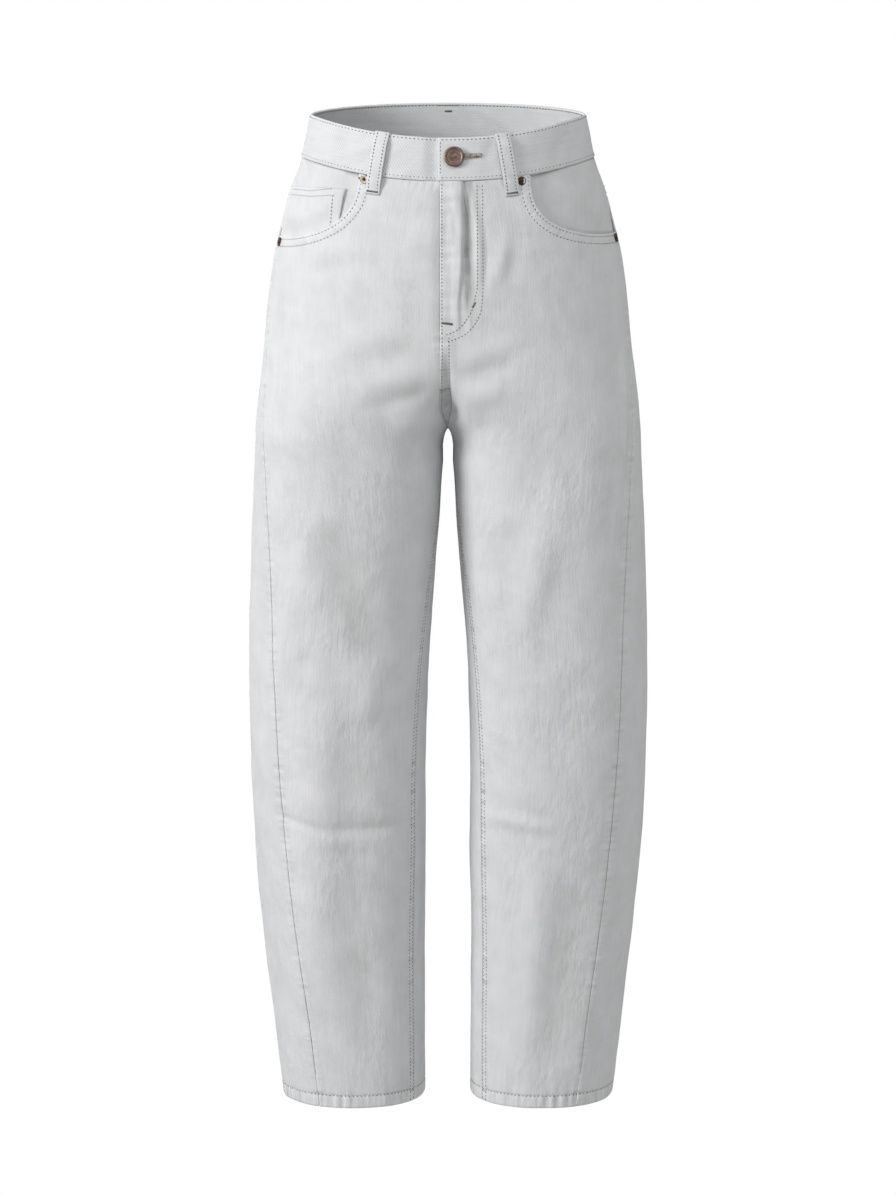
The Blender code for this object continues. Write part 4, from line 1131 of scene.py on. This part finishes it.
# %% Cutting the tape and the shield
reach, level = np.meshgrid(np.linspace(-20, 16, 16), np.linspace(BAND_SEAM - 3, FLY_END_LEVEL + 3, 60))
cloth("zip", -1, reach, level, -UNDER_LAYER, DENIM, material=TAPE)
reach, level = np.meshgrid(np.linspace(-40, 20, 22), np.linspace(BAND_SEAM - 3, FLY_END_LEVEL - 5, 60))
cloth("fly_shield", -1, reach, level, -2 * UNDER_LAYER, DENIM, wear=-0.1)
for level in np.arange(BAND_SEAM - 8, FLY_END_LEVEL + 8, -1.9):
    spot, normal = place(-1, np.array([-2.0]), np.array([level]), -UNDER_LAYER - 0.6)
    sew("teeth", spot, np.array([[1.0, 0, 0]]), normal, length=4.4, width=1.1)
make_thread("teeth", "zip_teeth", TOOTH)

# %% [markdown]
# ## Topstitching
# The seams are topstitched with a grey thread close to the cloth's own colour: two rows on the fly's curve, the
# yokes and the inseam, and one on the hem. A darker copy of the same thread, darkened as painted shade, runs along
# the pocket edges, the band, the loops and the edge of the fly. Bartacks hold the ends.

# %% Rows on the front
PITCH, LONG_PITCH, LOOP_PITCH, HEM_ROW_LEVEL = 3.5, 4.0, 3.3, HEM_LEVEL + 12.2
for side in HANDS:
    scoop_reach, scoop_level = scoop_path(side)
    for away in (2.8, 9.6):
        reach, level = beside(scoop_reach, scoop_level, away)
        inside = (level < BAND_SEAM - 1) & (reach < seam_reach(level) - 1)
        lift = front_lift(side, reach, level)
        stitch_row("dark", side, reach[inside], level[inside], lift[inside] + 0.02, LONG_PITCH)
    level = np.linspace(CROTCH_LEVEL - 6, HEM_LEVEL + 1, 300)
    for away in (2.0, 6.8):
        stitch_row("grey", side, np.full(300, away), level, edge_roll(np.full(300, away)) + 0.02, PITCH)
    reach = np.linspace(1, float(total_reach(HEM_ROW_LEVEL)) - 1, 300)
    stitch_row("grey", side, reach, np.full(300, HEM_ROW_LEVEL), 0.02, LONG_PITCH)
    stitch_row("grey", side, reach, np.full(300, HEM_ROW_LEVEL), -HEM_CLOTH + 0.05, PITCH, inside=True)

J_ROWS = (
    ((27.5, -42.5), (28.1, -158.1), (23.3, -182.1), (16.6, -194.5), (7.2, -204.5), (-4.6, -208.0)),
    ((32.8, -42.5), (33.4, -162.7), (31.5, -184.3), (26.2, -196.6), (18.6, -205.5), (11.0, -210.4),
     (-4.6, -214.7)),
)
for row in J_ROWS:
    reach, level = (np.array(values, float) for values in zip(*row))
    walked = walk(reach, level)
    fine = np.linspace(0, walked[-1], 200)
    weights = bell(fine[:, None] - fine[None, :], 5.0)
    weights /= weights.sum(axis=1, keepdims=True)
    reach, level = weights @ np.interp(fine, walked, reach), weights @ np.interp(fine, walked, level)
    stitch_row("grey", 1, reach, level, np.maximum(front_lift(1, reach, level), 0.0) + 0.02, PITCH)
level = np.linspace(BAND_SEAM - 2, FLY_END_LEVEL - 4, 120)
reach = centre_end(1, level) + 1.7
stitch_row("dark", 1, reach, level, front_lift(1, reach, level) + 0.03, PITCH)
level = np.linspace(FLY_END_LEVEL - 4, CROTCH_LEVEL + 8, 90)
for away in (1.9, 8.2):
    reach = away + centre_end(1, level)
    stitch_row("dark", 1, reach, level, front_lift(1, reach, level) + 0.03, PITCH)

COIN_ROWS = (
    ((179.5, -71.6), (142.9, -67.8), (116.4, -60.8)),
    ((179.5, -76.6), (142.0, -72.8), (112.0, -66.0)),
    ((114.8, -66.0), (119.1, -97.0)),
)
for row in COIN_ROWS:
    fine, corners = np.linspace(0, 1, 60), np.linspace(0, 1, len(row))
    reach, level = (np.interp(fine, corners, values) for values in zip(*row))
    stitch_row("grey", -1, reach, level, facing_out(-1, reach, level) + UNDER_LAYER + 0.28, PITCH)
print({name: sum(len(part) for part in parts) for name, parts in ROWS.items()}, "stitches so far")

# %% Rows on the band, the loops and the back
for side in HANDS:
    total = float(total_reach(-20.0))
    first = -BAND_OVERLAP + 2.4 if side > 0 else BAND_OVERLAP + 1
    reach = np.linspace(first, total, 400)
    sink = 0 if side > 0 else UNDERLAP_DEPTH * (1 - rise(reach, BAND_OVERLAP + 1.5, BAND_OVERLAP + 16))
    for drop in (2.3, BAND_HEIGHT - 2.9):
        stitch_row("dark", side, reach, np.full(400, -drop), BAND_LIFT - sink + 0.04, LONG_PITCH)
        stitch_row("grey", side, np.linspace(60, total, 300), -drop, BAND_LIFT - BAND_CLOTH - 0.02, PITCH, inside=True)
stitch_row("dark", 1, -BAND_OVERLAP + 2.4, np.linspace(-4, -BAND_HEIGHT + 4.5, 30), BAND_LIFT + 0.04, PITCH)

for loop in LOOPS:
    for across in (-LOOP_ROW, LOOP_ROW):
        reach, level, out = loop_places(loop, across, np.linspace(0.015, 0.985, 60))
        stitch_row("dark", loop.side, reach, level, out - 0.15, LOOP_PITCH)
    reach, level, out = (float(value) for value in loop_places(loop, 0.0, np.array(0.955)))
    bartack("grey", loop.side, reach, level, out + 0.05, length=11.5, width=2.2)

for side, hand in HANDS.items():
    share = np.linspace(0.005, 0.995, 160)
    for above in (2.2, 8.0):
        level = BAND_SEAM - yoke_depth(share) + above
        reach = seam_reach(level) + (total_reach(level) - seam_reach(level)) * share
        stitch_row("grey", side, reach, level, 0.03, PITCH)
    if side > 0:
        level = np.linspace(BAND_SEAM - 2, CROTCH_LEVEL + 10, 200)
        for away in (2.2, 8.0):
            stitch_row("grey", side, total_reach(level) - away, level, 0.03, PITCH)
    for inset in (2.2, 8.2):
        across, foot = 1 - inset / 70, 1 - inset / 130
        edge = np.linspace(0.02, foot, 60)
        for path in ((-across, edge), (np.linspace(-across, across, 60), foot), (across, edge)):
            reach, level = patch_places(*(np.broadcast_to(part, 60) for part in path))
            stitch_row("grey", side, reach, level, UNDER_LAYER - 0.1, PITCH)
    for inset in (3.0, 14.0):
        reach, level = patch_places(np.linspace(-0.96, 0.96, 90), np.full(90, inset / 135))
        stitch_row("grey", side, reach, level, UNDER_LAYER + 0.4, PITCH)
    for across in (-0.955, 0.955):
        reach, level = patch_places(np.array(across), np.array(0.03))
        bartack("grey", side, float(reach), float(level), UNDER_LAYER + 0.3, length=9, turn=90)
print({name: sum(len(part) for part in parts) for name, parts in ROWS.items()}, "stitches in all")

# %% Bartacks, the buttonhole's thread, and making the sewing
bartack("grey", 1, 24.7, -176.7, 0.15, length=7, turn=62)
bartack("brown", -1, 0.8, -196.0, FLY_LIFT + 0.2, length=10.5, width=2.6, turn=8)
bartack("grey", -1, 113.6, -60.5, -1.5, length=7, turn=14)
for side in HANDS:
    seam_level = BAND_SEAM - POCKET_DEPTH[side] - 5
    bartack("grey", side, float(seam_reach(seam_level)) - 3.5, seam_level, 0.4, length=9, turn=90)
    bartack("grey", side, POCKET_START[side] - 4.5, BAND_SEAM - 4.2, 0.5, length=9, turn=0)
back = float(total_reach(-8.0))
bartack("grey", 1, back - 0.5, -8.0, BAND_LIFT - BAND_CLOTH - 0.1, length=7, inside=True)
# the buttonhole's thread crosses the cut to and fro, shorter towards its end, with a fine brown line at both edges
for count, shift in enumerate(np.arange(-11.0, 11.8, 0.95)):
    level = -BUTTON_DROP + 0.35 + shift * 0.026
    spot, normal = place(1, np.array([19.5 + shift]), np.array([level]), BAND_LIFT + 1.0)
    tall, slant = 6.8 - 0.14 * (shift + 11), 0.3 if count % 2 else -0.3
    across = np.array([upwards + rightwards * slant])
    sew("brown" if count % 6 == 1 else "beige", spot, across, normal, length=tall, width=0.8)
    for edge in (-0.5, 0.5):
        sew("brown", spot + edge * tall * np.array(upwards), np.array([rightwards]), normal, length=1.0, width=0.4)
bartack("beige", 1, 32.0, -BUTTON_DROP + 0.7, BAND_LIFT + 0.3, length=3.0, width=1.6, turn=90)
make_thread("grey", "topstitching", GREY_THREAD)
make_thread("dark", "edge_stitching", SHADED_THREAD)
make_thread("brown", "brown_tacks", BROWN_THREAD)
make_thread("beige", "buttonhole_thread", BEIGE_THREAD)

# %% [markdown]
# ## Metal
# A shank button and four capped rivets. They are turned shapes, so each is a short profile spun about its own
# axis. The button's face has plain rings, and nothing is stamped on it.

# %% Turning and placing the metal
def turned(name, profile, steps, materials, where, node, slot, inner=0.0):
    """A turned piece on the skin at where = (side, reach, level, out). Faces within inner take the second finish."""
    edges = [(i, i + 1) for i in range(len(profile) - 1)]
    piece = mesh_object(name, [(radius, 0, height) for radius, height in profile], [], edges=edges)
    mesh = piece.data
    select_only(piece)
    bpy.ops.object.modifier_add(type="SCREW")
    screw = piece.modifiers[-1]
    screw.steps = screw.render_steps = steps
    screw.use_merge_vertices, screw.merge_threshold = True, 0.001
    bpy.ops.object.modifier_apply(modifier=screw.name)
    bpy.ops.object.mode_set(mode="EDIT")
    bpy.ops.mesh.select_all(action="SELECT")
    bpy.ops.mesh.normals_make_consistent(inside=False)
    bpy.ops.object.mode_set(mode="OBJECT")
    bpy.ops.object.shade_smooth_by_angle(angle=math.radians(38))
    for material in materials:
        mesh.materials.append(material)
    for face in mesh.polygons:
        face.material_index = int(face.center.xy.length < inner)
    side, reach, level, out = where
    spot, normal = place(side, reach, level, out)
    stand = Matrix.Translation(Vector(spot)) @ Vector(normal).to_track_quat("Z", "Y").to_matrix().to_4x4()
    mesh.transform(Matrix.Scale(MM, 4) @ stand)
    print(name, "has", len(mesh.polygons), "faces")
    return finish_piece(piece, (node,))


print("metal can be turned")

# %% The button and the rivets
face = BAND_LIFT + 1.0
foot = BAND_LIFT - UNDERLAP_DEPTH + SEAM_GAP
cap = [(0, 2.7), (1.2, 2.68), (1.6, 2.45), (3.7, 2.4), (4.0, 2.68), (4.5, 2.68), (4.8, 2.4), (6.8, 2.42), (7.2, 2.75),
       (7.8, 3.05), (8.6, 3.12), (9.3, 2.85), (9.7, 2.35), (9.8, 1.7), (9.65, 1.0), (9.2, 0.6), (8.0, 0.2), (2.9, 0),
       (2.2, -0.8)]
profile = [(radius, height + face) for radius, height in cap] + [(2.2, foot), (0, foot)]
turned("button_metal", profile, 72, [COPPER], (1, BUTTON_REACH, -BUTTON_DROP, 0.0), "button", "button_metal")

rivet_profile = [(0, 1.95), (0.45, 1.92), (0.85, 1.78), (1.15, 1.45), (1.3, 1.1), (1.6, 0.86), (2.1, 0.8), (3.1, 0.84),
                 (3.6, 1.0), (4.0, 0.92), (4.25, 0.62), (4.3, 0.3), (4.3, 0), (0, 0)]
for side, hand in HANDS.items():
    level = BAND_SEAM - POCKET_DEPTH[side] - 5.3
    spots = {"front": (side, {1: 71.5, -1: 82.0}[side], BAND_SEAM - 4.6, 0.75),
             "side": (side, float(seam_reach(level)) - 12.5, level, 0.75)}
    for end, where in spots.items():
        plate = BRASS if side < 0 and end == "front" else BRONZE
        node = f"rivet_{end}_{hand}"
        turned(f"{node}_metal", rivet_profile, 40, [plate, BRONZE], where, node, "rivet_metal", inner=1.5)

# %% [markdown]
# ## Studio
# The photograph is cut out on pure white and lit by one large soft light from the left front. A weak fill, a side
# light and a back light stand in for the room. The white floor and wall only show to the camera, so they put no
# light on the cloth.

# %% The white studio
profile = [(26.0, -1.6), (29.0, -1.0), (30.5, 0.6), (31.0, 3.0), (31.0, 16.0)]
turns = np.linspace(0, 2 * math.pi, 65)[:-1]
studio_points = [(0, 0, profile[0][1])]
studio_points += [(radius * math.cos(turn), radius * math.sin(turn), up) for radius, up in profile for turn in turns]
studio_faces = [[0, 1 + i, 1 + (i + 1) % 64] for i in range(64)]
for first in range(1, 1 + 64 * (len(profile) - 1), 64):
    ends = [(first + i, first + (i + 1) % 64) for i in range(64)]
    studio_faces += [[a, a + 64, b + 64, b] for a, b in ends]
white = bpy.data.materials.new("white_studio")
white.use_nodes = True
white.node_tree.nodes.clear()
glow = add_node(white.node_tree, "ShaderNodeEmission", {"Color": (1, 1, 1, 1), "Strength": 1.0})
add_node(white.node_tree, "ShaderNodeOutputMaterial", {"Surface": (glow, "Emission")})
studio = mesh_object("studio_floor", studio_points, studio_faces, white)
studio.visible_diffuse = studio.visible_glossy = studio.visible_shadow = False
print("the studio has", len(studio_faces), "faces")


# %% The lights
def soft_light(name, location, power, size, tint="#FFFFFF"):
    light = bpy.data.lights.new(name, "AREA")
    light.energy, light.size, light.color = power, size, colour(tint)[:3]
    lamp = bpy.data.objects.new(name, light)
    bpy.context.scene.collection.objects.link(lamp)
    lamp.location = location
    lamp.rotation_euler = (Vector((0, 0, -0.45)) - Vector(location)).to_track_quat("-Z", "Y").to_euler()
    return lamp


soft_light("key", (-2.6, -1.55, 0.6), 73, 1.1)
soft_light("fill", (0.3, -2.6, 2.2), 34, 2.0)
soft_light("side", (3.2, -0.5, -1.3), 16, 1.6)
soft_light("back", (-1.2, 2.6, 1.0), 38, 1.6)
world = bpy.data.worlds.new("soft_room")
world.use_nodes = True
feed(world.node_tree.nodes["Background"], {"Color": colour("#FFFFFF"), "Strength": 0.37})
bpy.context.scene.world = world
bpy.context.scene.view_settings.view_transform = "Standard"

# %% [markdown]
# ## Camera
# The camera stands 3.6 m in front, a little above the waist, with a long lens, as in the photograph.

# %% The camera, the size and the end
camera = bpy.data.objects.new("camera", bpy.data.cameras.new("camera"))
bpy.context.scene.collection.objects.link(camera)
camera.data.lens, camera.data.sensor_width = 109.8, 36
camera.location = (0, -3.6, 0.0886)
camera.rotation_euler = (Vector((0, 0, -0.4794)) - camera.location).to_track_quat("-Z", "Y").to_euler()
bpy.context.scene.camera = camera
